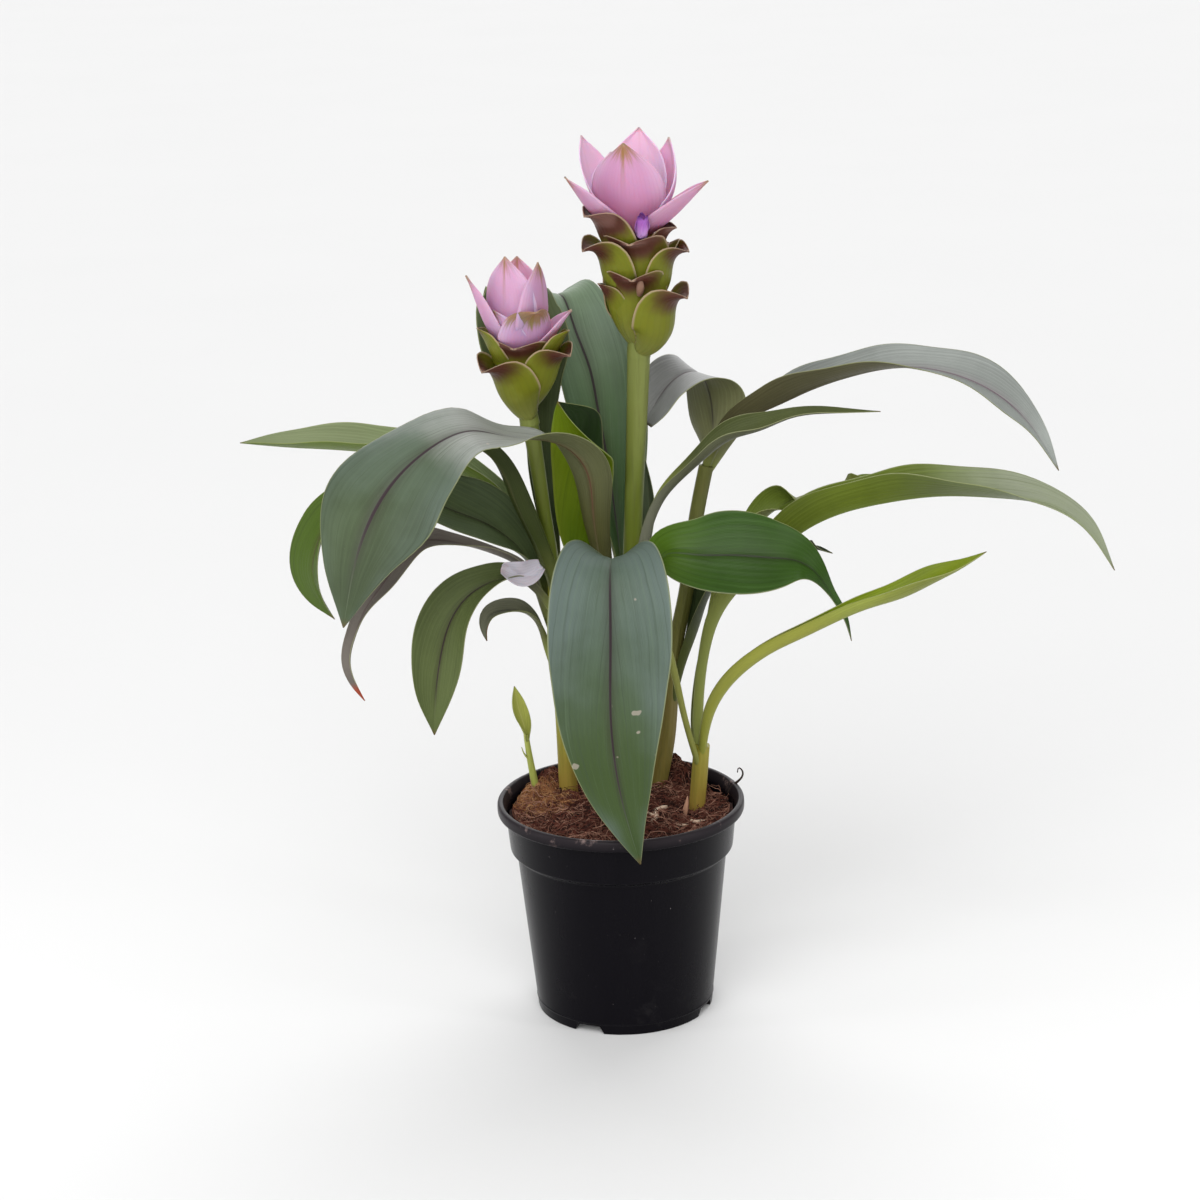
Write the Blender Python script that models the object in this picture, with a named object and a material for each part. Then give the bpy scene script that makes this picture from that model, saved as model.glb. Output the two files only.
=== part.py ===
"""A potted siam tulip: a nursery pot, its coir, four leafy shoots and two flower heads.

Sizes are in millimetres. The origin is the middle of the pot's foot, +X to the right and -Y to the front.
"""

import math

import bmesh
import bpy
import numpy as np
from mathutils import Matrix, Vector

MM = 0.001
CLEARANCE = 0.3  # between pieces that touch

POT_HEIGHT = 133.0
LIP_RADIUS = 75.0
LIP_DEPTH = 7.0
COLLAR_RADIUS = 70.0
STEP_DEPTH = 31.0  # below the lip's top
BODY_RADIUS = 64.0  # just below the step
FOOT_RADIUS = 53.8
FOOT_HEIGHT = 4.0
FLOOR_THICKNESS = 2.0
PAD_RADIUS = 12.0
WALL = 1.6
STEP_WIDTH = 2.2  # how far the collar narrows to its lower edge
FOOT_RING = 2.8  # width of the ring that the pot stands on
LIP_WIDTH = 3.2
LIP_ROUND = 1.5
POT_SIDES = 28
NOTCHES = 4
NOTCH_FIRST = math.radians(-115)
NOTCH_WIDTH = 20.0
NOTCH_HEIGHT = 5.0
NOTCH_DEPTH = 14.0
NOTCH_NARROWING = 0.72  # of its width, at its top
DRAIN_RING = 38.0
DRAIN_RADIUS = 4.0
DRAINS = 8
DRAIN_SIDES = 8

SOIL_LEVEL = 121.0
SOIL_RINGS = (68.0, 58.0, 44.0, 30.0, 15.0)
SOIL_SIDES = 28
HEAPS = (  # x, y, rise and spread of each heap of coir
    (38.0, 57.0, 15.0, 12.0),
    (-42.0, 52.0, 10.0, 10.0),
    (-50.0, 30.0, 5.0, 11.0),
    (0.0, 10.0, 3.0, 30.0),
)

BLADE_THICKNESS = 0.8
BRACT_THICKNESS = 0.9
STEM_SIDES = 9

# Each stem: the points of its axis from low to high, and its radius at even steps along it.
STEMS = {
    "pseudostem_left": (
        ((-31, 36, 98), (-32, 35, 118), (-33, 34, 158), (-34, 32, 198), (-35, 30, 237), (-36, 28, 262)),
        (5.8, 5.6, 5.6, 6.2, 5.1),
    ),
    "pseudostem_centre": (
        ((1, 25, 98), (2, 25, 121), (4, 25, 160), (6, 25, 199), (8, 25, 237), (9, 25, 256)),
        (8.4, 8.0, 8.2, 8.6, 7.4),
    ),
    "pseudostem_centre_right": (
        ((18, 41, 98), (23, 42, 122), (30, 43, 157), (35, 45, 208), (43, 47, 246), (50, 49, 292),
         (57, 50, 326)),
        (5.7, 5.4, 5.0, 4.6, 4.5, 4.5),
    ),
    "pseudostem_right": (
        ((45, 4, 98), (46, 4, 118), (48, 4, 141), (50, 3, 164)),
        (5.0, 4.9, 5.0, 5.0),
    ),
}
STALKS = {
    "flower_stalk_tall": (
        ((9, 25, 256.3), (11, 24, 288), (13, 22, 325), (15, 20, 362), (17, 18, 401)),
        (5.3, 5.6, 6.6),
    ),
    "flower_stalk_short": (
        ((-36, 28, 262.8), (-38, 27, 279), (-41, 24, 303), (-44, 21, 330), (-48, 18, 362)),
        (3.9, 4.0, 4.9),
    ),
}
SPROUT_STEM = (((-51, 32, 112), (-52, 32, 125), (-55, 31, 147), (-57, 30, 164)), (2.6, 2.2, 1.6))
SPROUT_BLADE = ((-56.6, 30, 160), (-58, 30, 169), (-61, 29, 181), (-63, 28, 196))
SPROUT_BLADE_WIDTH = (2, 5, 5.5, 4, 0)  # half widths, as a leaf's
SPROUT_SCALE = ((-55, 31, 146), (-58, 30, 150), (-60, 29.5, 156))
SPROUT_SCALE_HALF = 2.0
TRUE_FLOWER_FOOT = (20, -1, 475)
TRUE_FLOWER_LEAN = (0.05, -0.42, 0.9)
TRUE_FLOWER_PETAL_HALF = 4.2
TRUE_FLOWER_PETAL_TURNS = (-60, 60, 180)
FALLEN_PETAL = ((-43.8, -11, 283.5), (-54.8, -18, 280.5), (-66.8, -23, 285.5))
FALLEN_PETAL_HALF = 8.5
ROOT_TRUNK = ((14, -20), (17, -12), (17, -4), (24, 2))
ROOT_BRANCH = ((17, -12), (13, -7), (10, -4))
ROOT_LIFT = 1.6  # of its axis above the coir

# Each leaf: its midrib from the sheath to the tip, then keys spaced evenly along it.
# width is half its width, laid flat. The rest are in degrees: facing is the compass direction
# that it leans to, roll turns it about its midrib, cup is how far each edge curls up, and fold
# is the V at the midrib. lobe is where the blade starts and how far its shoulders reach back,
# and rows is how finely a long leaf is cut along its length.
LEAVES = {
    "leaf_front": dict(
        stem="pseudostem_centre", width=(7, 6, 5, 4, 3, 20, 32, 37, 38, 35, 31, 25, 18, 9, 0),
        lobe=(0.31, 11), rows=20,
        route=((7, 25, 215), (5, 17, 240), (3, 1, 265), (0, -20, 284), (-2, -36, 294), (-3, -50, 292),
               (-4, -68, 254), (-5, -78, 209), (-1, -85, 169), (10, -88, 124)),
        facing=(268,), roll=(0,), cup=(150, 140, 80, 18, 20, 20, 20, 25), fold=(0, 0, 12, 8, 6)),
    "leaf_left_large": dict(
        stem="pseudostem_centre", width=(7, 7, 9, 12, 15, 20, 25, 34, 39, 21, 0),
        route=((2, 25, 225), (-8, 4, 278), (-12, -5, 315), (-15, -10, 340), (-24, -16, 354),
               (-39, -22, 362), (-56, -28, 365), (-81, -42, 373), (-104, -55, 366), (-126, -68, 348),
               (-142, -80, 321), (-154, -92, 273)),
        facing=(255, 250, 240, 200, 190, 195, 205), roll=(0, 0, -10, -12, 0, 22, 36, 44, 42),
        cup=(150, 90, 40, 10, -12, -14, -10), fold=(0, 5, 4, 0)),
    "leaf_left_pale": dict(
        stem="pseudostem_left", width=(6, 6, 9, 13, 16, 17, 16, 11, 0),
        route=((-36, 32, 224), (-45, 45, 252), (-63, 54, 294), (-80, 60, 312), (-101, 66, 324),
               (-126, 70, 332), (-148, 72, 335), (-169, 73, 337), (-197, 74, 339), (-227, 74, 342)),
        facing=(145, 160, 175, 180), roll=(0, 0, 12, 24, 18), cup=(150, 70, 30, 20),
        fold=(0, 25, 40, 40, 35)),
    "leaf_left_strap": dict(
        stem="pseudostem_left", width=(7, 7, 8, 9, 9, 9, 9, 10, 19, 22, 0),
        route=((-35, 29, 237), (-40, 14, 271), (-49, 10, 296), (-58, 10, 318), (-66, 10, 338),
               (-78, 10, 350), (-95, 10, 354), (-118, 10, 352), (-139, 10, 342), (-158, 10, 325),
               (-173, 9, 303), (-180, 7, 276), (-168, 4, 249)),
        facing=(250, 240, 215, 190, 180), roll=(0, 0, 0, 0, 5, 20, 30), cup=(130, 80, 50, 40, 25, 15),
        fold=(0, 8, 5)),
    "leaf_left_dark": dict(
        stem="pseudostem_left", width=(5, 5, 7, 14, 21, 23, 20, 12, 0),
        route=((-36, 31, 221), (-46, 31, 258), (-53, 28, 278), (-67, 25, 294), (-80, 22, 303),
               (-93, 20, 309), (-109, 18, 316), (-127, 15, 317), (-142, 12, 311)),
        facing=(175, 180, 185), roll=(0, 20, 35, 40, 40), cup=(130, 60, 25, 15), fold=(0, 12, 8)),
    "leaf_left_twisted": dict(
        stem="pseudostem_left", width=(5, 5, 5, 6, 6, 6, 9, 9, 6, 6, 0),
        route=((-35, 30, 210), (-46, 19, 251), (-54, 5, 276), (-65, -5, 287), (-82, -9, 295),
               (-99, -14, 301), (-114, -19, 302), (-125, -24, 294), (-134, -29, 282), (-145, -32, 268),
               (-153, -35, 251), (-157, -36, 233), (-149, -37, 211)),
        facing=(200, 190, 190, 205, 215), roll=(0, 10, 15, -8, 30, 55, 20, 0, 20), cup=(150, 60, 40, 30),
        fold=(0, 10)),
    "leaf_left_hanging": dict(
        stem="pseudostem_left", width=(5, 5, 5, 7, 12, 17, 18, 12, 0),
        route=((-36, 31, 206), (-38, 11, 243), (-48, -3, 265), (-62, -13, 277), (-76, -21, 276),
               (-87, -26, 270), (-97, -31, 257), (-103, -34, 239), (-107, -36, 216), (-109, -38, 189)),
        facing=(240, 225, 210, 215, 225), roll=(0, 0, 15, 28, 36, 34), cup=(150, 60, 30, 20),
        fold=(0, 12, 8)),
    "leaf_left_small": dict(
        stem="pseudostem_left", width=(4, 4, 5, 5, 7, 6, 0),
        route=((-35, 31, 191), (-44, 26, 221), (-49, 17, 241), (-59, 7, 251), (-69, 0, 253),
               (-76, -6, 251), (-78, -9, 245), (-77, -12, 238)),
        facing=(210, 205, 205), roll=(0, 10, 25, 35), cup=(150, 60, 40), fold=(0, 12)),
    "leaf_behind_short_stalk": dict(
        stem="pseudostem_left", width=(6, 6, 8, 9, 10, 11, 19, 28, 24, 10, 0),
        route=((-35, 29, 234), (-36, 40, 256), (-40, 47, 295), (-43, 49, 326), (-44, 50, 357),
               (-48, 52, 384), (-52, 55, 408), (-55, 60, 421), (-56, 67, 427), (-72, 79, 411),
               (-77, 84, 396)),
        facing=(100, 96, 94), roll=(0, -2, -3), cup=(150, 60, 20, 8), fold=(0, 12, 5)),
    "leaf_boat": dict(
        stem="pseudostem_centre", width=(5, 5, 6, 12, 27, 34, 38, 33, 0),
        route=((-3, 26, 207), (-10, 28, 237), (-20, 29, 262), (-30, 28, 285), (-34, 26, 308),
               (-35, 23, 331), (-35, 14, 355), (-31, 1, 379)),
        facing=(185, 190, 188), roll=(0, 0, 0, 0, 2), cup=(130, 60, 15, 10), fold=(0, 45, 66, 56, 44)),
    "leaf_behind_tall_stalk": dict(
        stem="pseudostem_centre", width=(6, 7, 14, 22, 28, 31, 30, 24, 15, 8, 0),
        route=((6, 25, 225), (4, 44, 267), (0, 58, 307), (-4, 66, 337), (-8, 71, 361), (-12, 74, 383),
               (-19, 82, 402), (-24, 94, 416), (-29, 105, 423), (-35, 113, 420), (-43, 128, 409),
               (-49, 139, 389), (-53, 145, 366)),
        facing=(110, 112, 115), roll=(0, 0, -5), cup=(150, 60, 30, 15), fold=(0, 12, 6)),
    "leaf_narrow_back": dict(
        stem="pseudostem_centre", width=(4, 4, 5, 5, 0),
        route=((9, 25, 225), (18, 36, 272), (22, 38, 299), (21, 40, 321), (19, 42, 337)),
        facing=(50, 60), roll=(0,), cup=(150, 60, 30), fold=(0, 10)),
    "leaf_right_thin": dict(
        stem="pseudostem_centre", width=(6, 6, 7, 7, 7, 8, 11, 11, 6, 3, 0),
        route=((10, 25, 218), (17, 13, 266), (22, 8, 297), (31, 7, 318), (44, 7, 332), (56, 6, 343),
               (69, 4, 353), (86, 1, 359), (105, -3, 367), (128, -7, 370), (156, -12, 371)),
        facing=(300, 330, 345, 350), roll=(0, -10, -20, -22, -20), cup=(150, 110, 90, 50, 30),
        fold=(0, 15)),
    "leaf_right_folded": dict(
        stem="pseudostem_centre_right", width=(5, 11, 19, 21, 21, 20, 20, 18, 9),
        route=((57, 51, 322), (61, 56, 337), (62, 60, 353), (60, 61, 370), (54, 56, 382), (45, 49, 384),
               (35, 45, 378), (27, 42, 368), (19, 40, 357)),
        facing=(255, 250, 240, 215, 192, 186), roll=(0, 0, 5, 10, 24, 38), cup=(120, 30, 12, 12),
        fold=(0, 6)),
    "leaf_right_arching": dict(
        stem="pseudostem_centre_right", width=(6, 9, 14, 16, 15, 14, 14, 16, 14, 7, 0),
        route=((59, 49, 325), (66, 42, 341), (79, 34, 357), (97, 28, 367), (118, 21, 378), (141, 14, 387),
               (169, 7, 393), (198, 0, 390), (226, -5, 377), (246, -9, 357), (260, -12, 333)),
        facing=(335, 338, 342, 345), roll=(0, 10, 2, -14, -22, -26, -28, -30),
        cup=(140, 60, 40, 28, 18, 15), fold=(0, 30, 35, 20, 10, 8)),
    "leaf_right_channelled": dict(
        stem="pseudostem_right", width=(7, 8, 8, 11, 15, 17, 18, 19, 18, 14, 8, 0),
        route=((51, 4, 157), (51, 8, 181), (52, 8, 197), (56, 7, 224), (65, 5, 249), (76, 3, 264),
               (93, 0, 282), (111, -3, 298), (132, -6, 309), (159, -9, 316), (191, -12, 320),
               (225, -16, 319), (254, -19, 314), (275, -21, 300), (292, -24, 275)),
        facing=(350,), roll=(0, 0, 0, 4, 0, -10, -20, -20), cup=(150, 150, 90, 40, 30, 25, 20, 20),
        fold=(0, 0, 25, 64, 58, 34, 20, 10)),
    "leaf_right_short": dict(
        stem="pseudostem_right", width=(5, 5, 6, 6, 8, 9, 11, 14, 9, 0),
        route=((49, 9, 155), (48, 17, 174), (51, 22, 196), (59, 23, 232), (68, 21, 265), (80, 19, 289),
               (92, 21, 302), (110, 20, 312), (130, 19, 317), (159, 18, 326)),
        facing=(20, 5, 0, 355), roll=(0, -5, -22), cup=(150, 120, 60, 35, 30), fold=(0, 10, 30, 30)),
    "leaf_right_rolled": dict(
        stem="pseudostem_right", width=(5, 7, 9, 10, 10, 10, 10, 11, 13, 10, 0),
        route=((51, 2, 153), (54, -7, 177), (58, -13, 192), (65, -19, 206), (76, -26, 220),
               (91, -33, 233), (108, -41, 244), (126, -48, 255), (146, -53, 265), (166, -58, 273),
               (182, -61, 282), (196, -63, 290), (211, -65, 300)),
        facing=(325, 332, 340, 345), roll=(0, 0, -5, -12), cup=(150, 150, 140, 125, 80, 30), fold=(0,)),
    "leaf_front_right": dict(
        stem="pseudostem_right", width=(4, 4, 4, 4, 4, 4, 4, 6, 13, 20, 25, 25, 20, 9, 4, 3, 0),
        route=((47, 2, 148), (41, -7, 173), (37, -12, 193), (33, -15, 217), (26, -19, 252),
               (23, -23, 281), (30, -28, 293), (45, -33, 294), (69, -37, 294), (92, -38, 292),
               (107, -37, 289), (116, -35, 282), (124, -31, 270), (132, -28, 255), (138, -24, 236)),
        facing=(200, 240, 290, 335, 345, 348, 350), roll=(0, 0, 0, -30, -55, -58, -50, -25, -15),
        cup=(150, 140, 100, 50, 20, 15, 20, 30), fold=(0, 5, 6)),
    "leaf_right_dark": dict(
        stem="pseudostem_centre_right", width=(5, 5, 6, 8, 12, 18, 20, 8, 0),
        route=((31, 43, 152), (36, 41, 180), (43, 41, 206), (50, 42, 225), (55, 44, 241), (62, 46, 257),
               (74, 48, 270), (92, 48, 275), (113, 47, 275), (133, 46, 270)),
        facing=(330, 345, 355, 0), roll=(0, -5, -15, -22), cup=(150, 130, 80, 40, 25), fold=(0, 15)),
}
LEAF_COLUMNS = 4
ROWS_TO_SPARE = 2  # rows of a leaf beyond the points of its midrib
TIP_HALF = 0.5

# Each bract: compass direction, height of its foot, length, half its width,
# then keys along it in degrees: its lean from upright, and its cup.
TALL_AXIS = ((17, 18, 401), (18, 17.5, 440), (15, 16.5, 476), (14, 16, 505))
TALL_GREEN_TOP = 466.0
TALL_CORE_TOP = 492.0
TALL_GREEN = (
    (330, 401, 52, 25, (76, 36, 6, 96), (110, 82, 52)),
    (262, 408, 52, 22, (58, 22, 4, 84), (110, 78, 50)),
    (200, 407, 45, 14, (48, 28, 16, 40), (110, 75, 50)),
    (100, 405, 50, 22, (62, 30, 12, 90), (110, 76, 46)),
    (202, 430, 52, 22, (66, 36, 12, 106), (110, 74, 46)),
    (345, 428, 48, 21, (64, 34, 10, 92), (110, 74, 46)),
    (50, 428, 47, 21, (60, 30, 14, 90), (110, 74, 44)),
    (258, 436, 45, 23, (68, 28, 5, 84), (105, 70, 44)),
    (126, 446, 45, 21, (58, 30, 16, 86), (108, 70, 42)),
    (208, 453, 47, 22, (62, 40, 20, 84), (96, 60, 38)),
    (348, 451, 34, 16, (60, 36, 20, 66), (96, 62, 38)),
)
TALL_PINK = (
    (250, 470, 61, 26, (44, 18, -2, -8), (70, 48, 34)),
    (346, 470, 54, 21, (66, 52, 44, 44), (78, 48, 28)),
    (194, 470, 54, 19, (64, 48, 34, 34), (85, 52, 30)),
    (150, 472, 66, 18, (56, 34, 18, 8), (76, 46, 28)),
    (70, 473, 63, 20, (44, 14, 0, -2), (76, 46, 30)),
    (20, 473, 63, 22, (60, 34, 4, -16), (76, 46, 30)),
    (112, 470, 56, 21, (58, 34, 22, 20), (85, 50, 28)),
)
SHORT_AXIS = ((-48, 18, 362), (-52, 17, 392), (-54, 16, 414), (-54, 16, 436))
SHORT_GREEN_TOP = 397.0
SHORT_CORE_TOP = 420.0
SHORT_GREEN = (
    (216, 364, 47, 25, (54, 35, 20, 98), (112, 84, 52)),
    (326, 371, 47, 20, (50, 34, 20, 92), (112, 80, 50)),
    (96, 367, 44, 19, (48, 30, 16, 88), (112, 80, 48)),
    (258, 381, 38, 22, (54, 30, 12, 72), (106, 74, 48)),
    (40, 380, 40, 18, (56, 28, 14, 82), (108, 72, 44)),
    (190, 389, 40, 15, (58, 38, 22, 34), (84, 56, 40)),
    (346, 388, 41, 15, (64, 42, 28, 38), (80, 54, 40)),
)
SHORT_PINK = (
    (194, 400, 60, 14, (47, 30, 18, 21), (74, 50, 34)),
    (238, 402, 64, 19, (36, 12, -2, -6), (72, 48, 34)),
    (88, 402, 60, 19, (34, 8, -2, -4), (72, 48, 34)),
    (335, 402, 61, 20, (46, 18, -2, -12), (70, 48, 34)),
    (296, 401, 41, 19, (66, 32, 8, 78), (70, 52, 38)),
    (226, 402, 36, 16, (56, 30, 16, 18), (66, 48, 32)),
    (4, 400, 41, 15, (64, 46, 34, 40), (76, 50, 32)),
)
BRACT_ROWS = 4
BRACT_COLUMNS = 3
BRACT_STEPS = 40  # of its midrib's curve
# How wide a bract is along its length, as shares of its half width: pouches are blunt and petals pointed.
POUCH_OUTLINE = (0.5, 0.66, 0.8, 0.92, 1.0, 1.04, 1.03, 0.96, 0.76, 0)
PETAL_OUTLINE = (0.44, 0.78, 1.0, 0.98, 0.7, 0)
TIP_CROWDING = 1.35  # above 1, the rows of a bract lie closer together towards its tip
CORE_SIDES = 5
FOOT_INSET = 3.5  # how far from the head's axis a bract starts


def keyed(values, share):
    """The value at a share of the way through keys spaced evenly, on a smooth curve through them."""
    if len(values) == 1:
        return values[0]
    last = len(values) - 1
    place = min(max(share, 0.0), 1.0) * last
    first = min(int(place), last - 1)
    step = place - first
    low, high = values[first], values[first + 1]
    before = values[first - 1] if first > 0 else 2 * low - high
    after = values[first + 2] if first + 2 <= last else 2 * high - low
    bend = 2 * before - 5 * low + 4 * high - after
    twist = 3 * (low - high) + after - before
    return low + 0.5 * step * (high - before + step * (bend + step * twist))


def spline(points, count=200):
    """Points at equal spacing along the natural cubic spline through the given points."""
    given = np.array(points, float)
    gaps = np.linalg.norm(np.diff(given, axis=0), axis=1)
    slopes = np.diff(given, axis=0) / gaps[:, None]
    system = np.eye(len(given))
    change = np.zeros_like(given)
    for i in range(1, len(given) - 1):
        system[i, i - 1 : i + 2] = gaps[i - 1], 2 * (gaps[i - 1] + gaps[i]), gaps[i]
        change[i] = 6 * (slopes[i] - slopes[i - 1])
    bend = np.linalg.solve(system, change)
    knots = np.concatenate([[0], np.cumsum(gaps)])
    places = np.linspace(0, knots[-1], count)
    span = np.clip(np.searchsorted(knots, places, side="right") - 1, 0, len(gaps) - 1)
    gap = gaps[span][:, None]
    near = (knots[span + 1] - places)[:, None] / gap
    far = 1 - near
    curve = near * given[span] + far * given[span + 1]
    curve += ((near**3 - near) * bend[span] + (far**3 - far) * bend[span + 1]) * gap**2 / 6
    run = np.concatenate([[0], np.cumsum(np.linalg.norm(np.diff(curve, axis=0), axis=1))])
    even = np.linspace(0, run[-1], count)
    return np.stack([np.interp(even, run, curve[:, axis]) for axis in range(3)], axis=1)


def read_curve(curve, share):
    """The point and the direction of a sampled curve at a share of its length."""
    last = len(curve) - 1
    place = min(max(share, 0.0), 1.0) * last
    first = min(int(place), last - 1)
    point = curve[first] + (curve[first + 1] - curve[first]) * (place - first)
    around = curve[min(first + 2, last)] - curve[max(first - 1, 0)]
    return Vector(point), Vector(around).normalized()


def material(name, colour, roughness):
    """A plain finish in one colour."""
    finish = bpy.data.materials.new(name)
    finish.use_nodes = True
    shader = finish.node_tree.nodes["Principled BSDF"]
    shader.inputs["Base Color"].default_value = (*colour, 1)
    shader.inputs["Roughness"].default_value = roughness
    shader.inputs["Metallic"].default_value = 0
    finish.diffuse_color = (*colour, 1)
    return finish


def add_object(name, shape, finish):
    """A new object that holds a bmesh, scaled from millimetres to metres."""
    bmesh.ops.scale(shape, vec=(MM, MM, MM), verts=shape.verts)
    mesh = bpy.data.meshes.new(name)
    shape.to_mesh(mesh)
    shape.free()
    mesh.materials.append(finish)
    mesh.shade_smooth()
    mesh.set_sharp_from_angle(angle=math.radians(40))
    made = bpy.data.objects.new(name, mesh)
    bpy.context.scene.collection.objects.link(made)
    return made


def make_cutter(cutter):
    """Keeps a helper object out of the part."""
    cutter.hide_render = True
    cutter.display_type = "WIRE"
    return cutter


def boolean(target, other, operation, solver="EXACT"):
    """Adds a Boolean with one object or with all the objects of a collection."""
    modifier = target.modifiers.new(operation.title(), "BOOLEAN")
    modifier.operation = operation
    modifier.solver = solver
    if isinstance(other, bpy.types.Collection):
        modifier.operand_type = "COLLECTION"
        modifier.collection = other
    else:
        modifier.object = other


def apply_modifiers(made):
    """Replaces an object's mesh with the one that its modifiers give."""
    bpy.context.view_layer.update()
    graph = bpy.context.evaluated_depsgraph_get()
    finished = bpy.data.meshes.new_from_object(made.evaluated_get(graph))
    made.modifiers.clear()
    made.data = finished


def keep_outer_skin(made):
    """Fills the small hollows that fusing seals, and drops loose scraps."""
    shape = bmesh.new()
    shape.from_mesh(made.data)
    unseen = set(shape.verts)
    islands = []
    while unseen:
        island = [unseen.pop()]
        for vert in island:
            for edge in vert.link_edges:
                other = edge.other_vert(vert)
                if other in unseen:
                    unseen.remove(other)
                    island.append(other)
        islands.append(island)
    islands.sort(key=len)
    for island in islands[:-1]:
        bmesh.ops.delete(shape, geom=island, context="VERTS")
    shape.to_mesh(made.data)
    shape.free()


def tube(name, points, radii, finish, extra=0.0, sides=STEM_SIDES):
    """A round stem along a smooth curve, with its radius keyed along it and flat ends, made larger by extra."""
    curve = spline(points)
    rings = 2 * len(points)
    shape = bmesh.new()
    loops = []
    for ring in range(rings):
        share = ring / (rings - 1)
        point, along = read_curve(curve, share)
        point += along * extra * (2 * share - 1)
        side = Vector((0, 1, 0)).cross(along).normalized()
        turn = Matrix((side, along.cross(side), along)).transposed().to_4x4()
        made = bmesh.ops.create_circle(
            shape, segments=sides, radius=keyed(radii, share) + extra, matrix=Matrix.Translation(point) @ turn
        )
        loops.append(list({edge for vert in made["verts"] for edge in vert.link_edges}))
    for low, high in zip(loops, loops[1:]):
        bmesh.ops.bridge_loops(shape, edges=low + high)
    bmesh.ops.holes_fill(shape, edges=shape.edges)
    bmesh.ops.recalc_face_normals(shape, faces=shape.faces)
    return add_object(name, shape, finish)


def section(share, half, cup, fold):
    """How far across and how far up a point of a leaf's section lies, with share from -1 to 1."""
    bend = math.radians(cup if abs(cup) > 1 else 1) / half
    start = math.radians(fold)
    run = abs(share) * half
    across = (math.sin(start + bend * run) - math.sin(start)) / bend
    rise = (math.cos(start) - math.cos(start + bend * run)) / bend
    return math.copysign(across, share), rise


def frame_at(curve, share, facing, roll):
    """A point of a curve, with the along, side and upper directions of the blade there."""
    point, along = read_curve(curve, share)
    facing = math.radians(facing)
    side = Vector((math.sin(facing), -math.cos(facing), 0))
    side = (side - along * side.dot(along)).normalized()
    side = Matrix.Rotation(math.radians(-roll), 3, along) @ side
    return point, along, side, side.cross(along)


def blade_shape(place, rows, columns):
    """A grid whose points place() sends onto a blade, split into triangles."""
    shape = bmesh.new()
    bmesh.ops.create_grid(shape, x_segments=columns, y_segments=rows, size=0.5)
    for vert in shape.verts:
        vert.co = place(2 * vert.co.x, vert.co.y + 0.5)
    bmesh.ops.triangulate(shape, faces=shape.faces, quad_method="FIXED")
    return shape


def thicken(made, thickness):
    """Gives a sheet its thickness, half to each side."""
    solid = made.modifiers.new("Thickness", "SOLIDIFY")
    solid.thickness = thickness * MM
    solid.offset = 0


def add_leaf(name, leaf, stems, finish):
    """One leaf, from where it leaves its stem to its tip."""
    curve = spline(leaf["route"])
    lobe_start, lobe = leaf.get("lobe", (0, 0))

    def place(side_share, share):
        half = max(keyed(leaf["width"], share), 0) + TIP_HALF
        inside = max(0.0, (share - lobe_start) / (1 - lobe_start))
        back = lobe * side_share**2 * min(1.0, 8 * inside) * (1 - inside) ** 3
        facing, roll, cup, fold = (keyed(leaf[key], share) for key in ("facing", "roll", "cup", "fold"))
        point, along, side, up = frame_at(curve, share, facing, roll)
        across, rise = section(side_share, half, cup, fold)
        return point + side * across + up * rise - along * back

    rows = leaf.get("rows", len(leaf["route"]) + ROWS_TO_SPARE)
    made = add_object(name, blade_shape(place, rows, LEAF_COLUMNS), finish)
    thicken(made, BLADE_THICKNESS)
    boolean(made, stems[leaf["stem"]], "DIFFERENCE")
    return made


def add_bract(name, bract, axis, outline, finish):
    """One bract, from inside the head's core to its tip."""
    compass, height, length, half_width, lean, cup = bract
    heights = [point[2] for point in axis]
    foot = Vector([float(np.interp(height, heights, [point[i] for point in axis])) for i in range(3)])
    outward = Vector((math.cos(math.radians(compass)), math.sin(math.radians(compass)), 0))
    foot += outward * FOOT_INSET
    route = [foot]
    for step in range(BRACT_STEPS):
        angle = math.radians(keyed(lean, (step + 0.5) / BRACT_STEPS))
        heading = outward * math.sin(angle) + Vector((0, 0, 1)) * math.cos(angle)
        route.append(route[-1] + heading * length / BRACT_STEPS)
    curve = np.array(route)

    def place(side_share, share):
        share = 1 - (1 - share) ** TIP_CROWDING
        half = half_width * max(keyed(outline, share), 0) + TIP_HALF
        point, along, side, up = frame_at(curve, share, compass, 0)
        across, rise = section(side_share, half, keyed(cup, share), 0)
        return point + side * across + up * rise

    made = add_object(name, blade_shape(place, BRACT_ROWS, BRACT_COLUMNS), finish)
    thicken(made, BRACT_THICKNESS)
    return made


def add_bracts(name, bracts, axis, low, high, radii, outline, finish):
    """All the bracts of one colour, fused to a slim core between two heights."""
    heights = [point[2] for point in axis]
    ends = [low, (low + high) / 2, high]
    core_axis = [[float(np.interp(z, heights, [point[i] for point in axis])) for i in range(3)] for z in ends]
    core = tube(name, core_axis, radii, finish, sides=CORE_SIDES)
    group = bpy.data.collections.new(name)
    for index, bract in enumerate(bracts):
        made = add_bract(f"{name}_{index}", bract, axis, outline, finish)
        apply_modifiers(made)
        group.objects.link(made)
        bpy.context.scene.collection.objects.unlink(made)
    bpy.context.scene.collection.children.link(group)
    boolean(core, group, "UNION", "MANIFOLD")
    apply_modifiers(core)
    keep_outer_skin(core)
    for made in list(group.objects):
        bpy.data.objects.remove(made)
    bpy.data.collections.remove(group)
    return core


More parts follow.
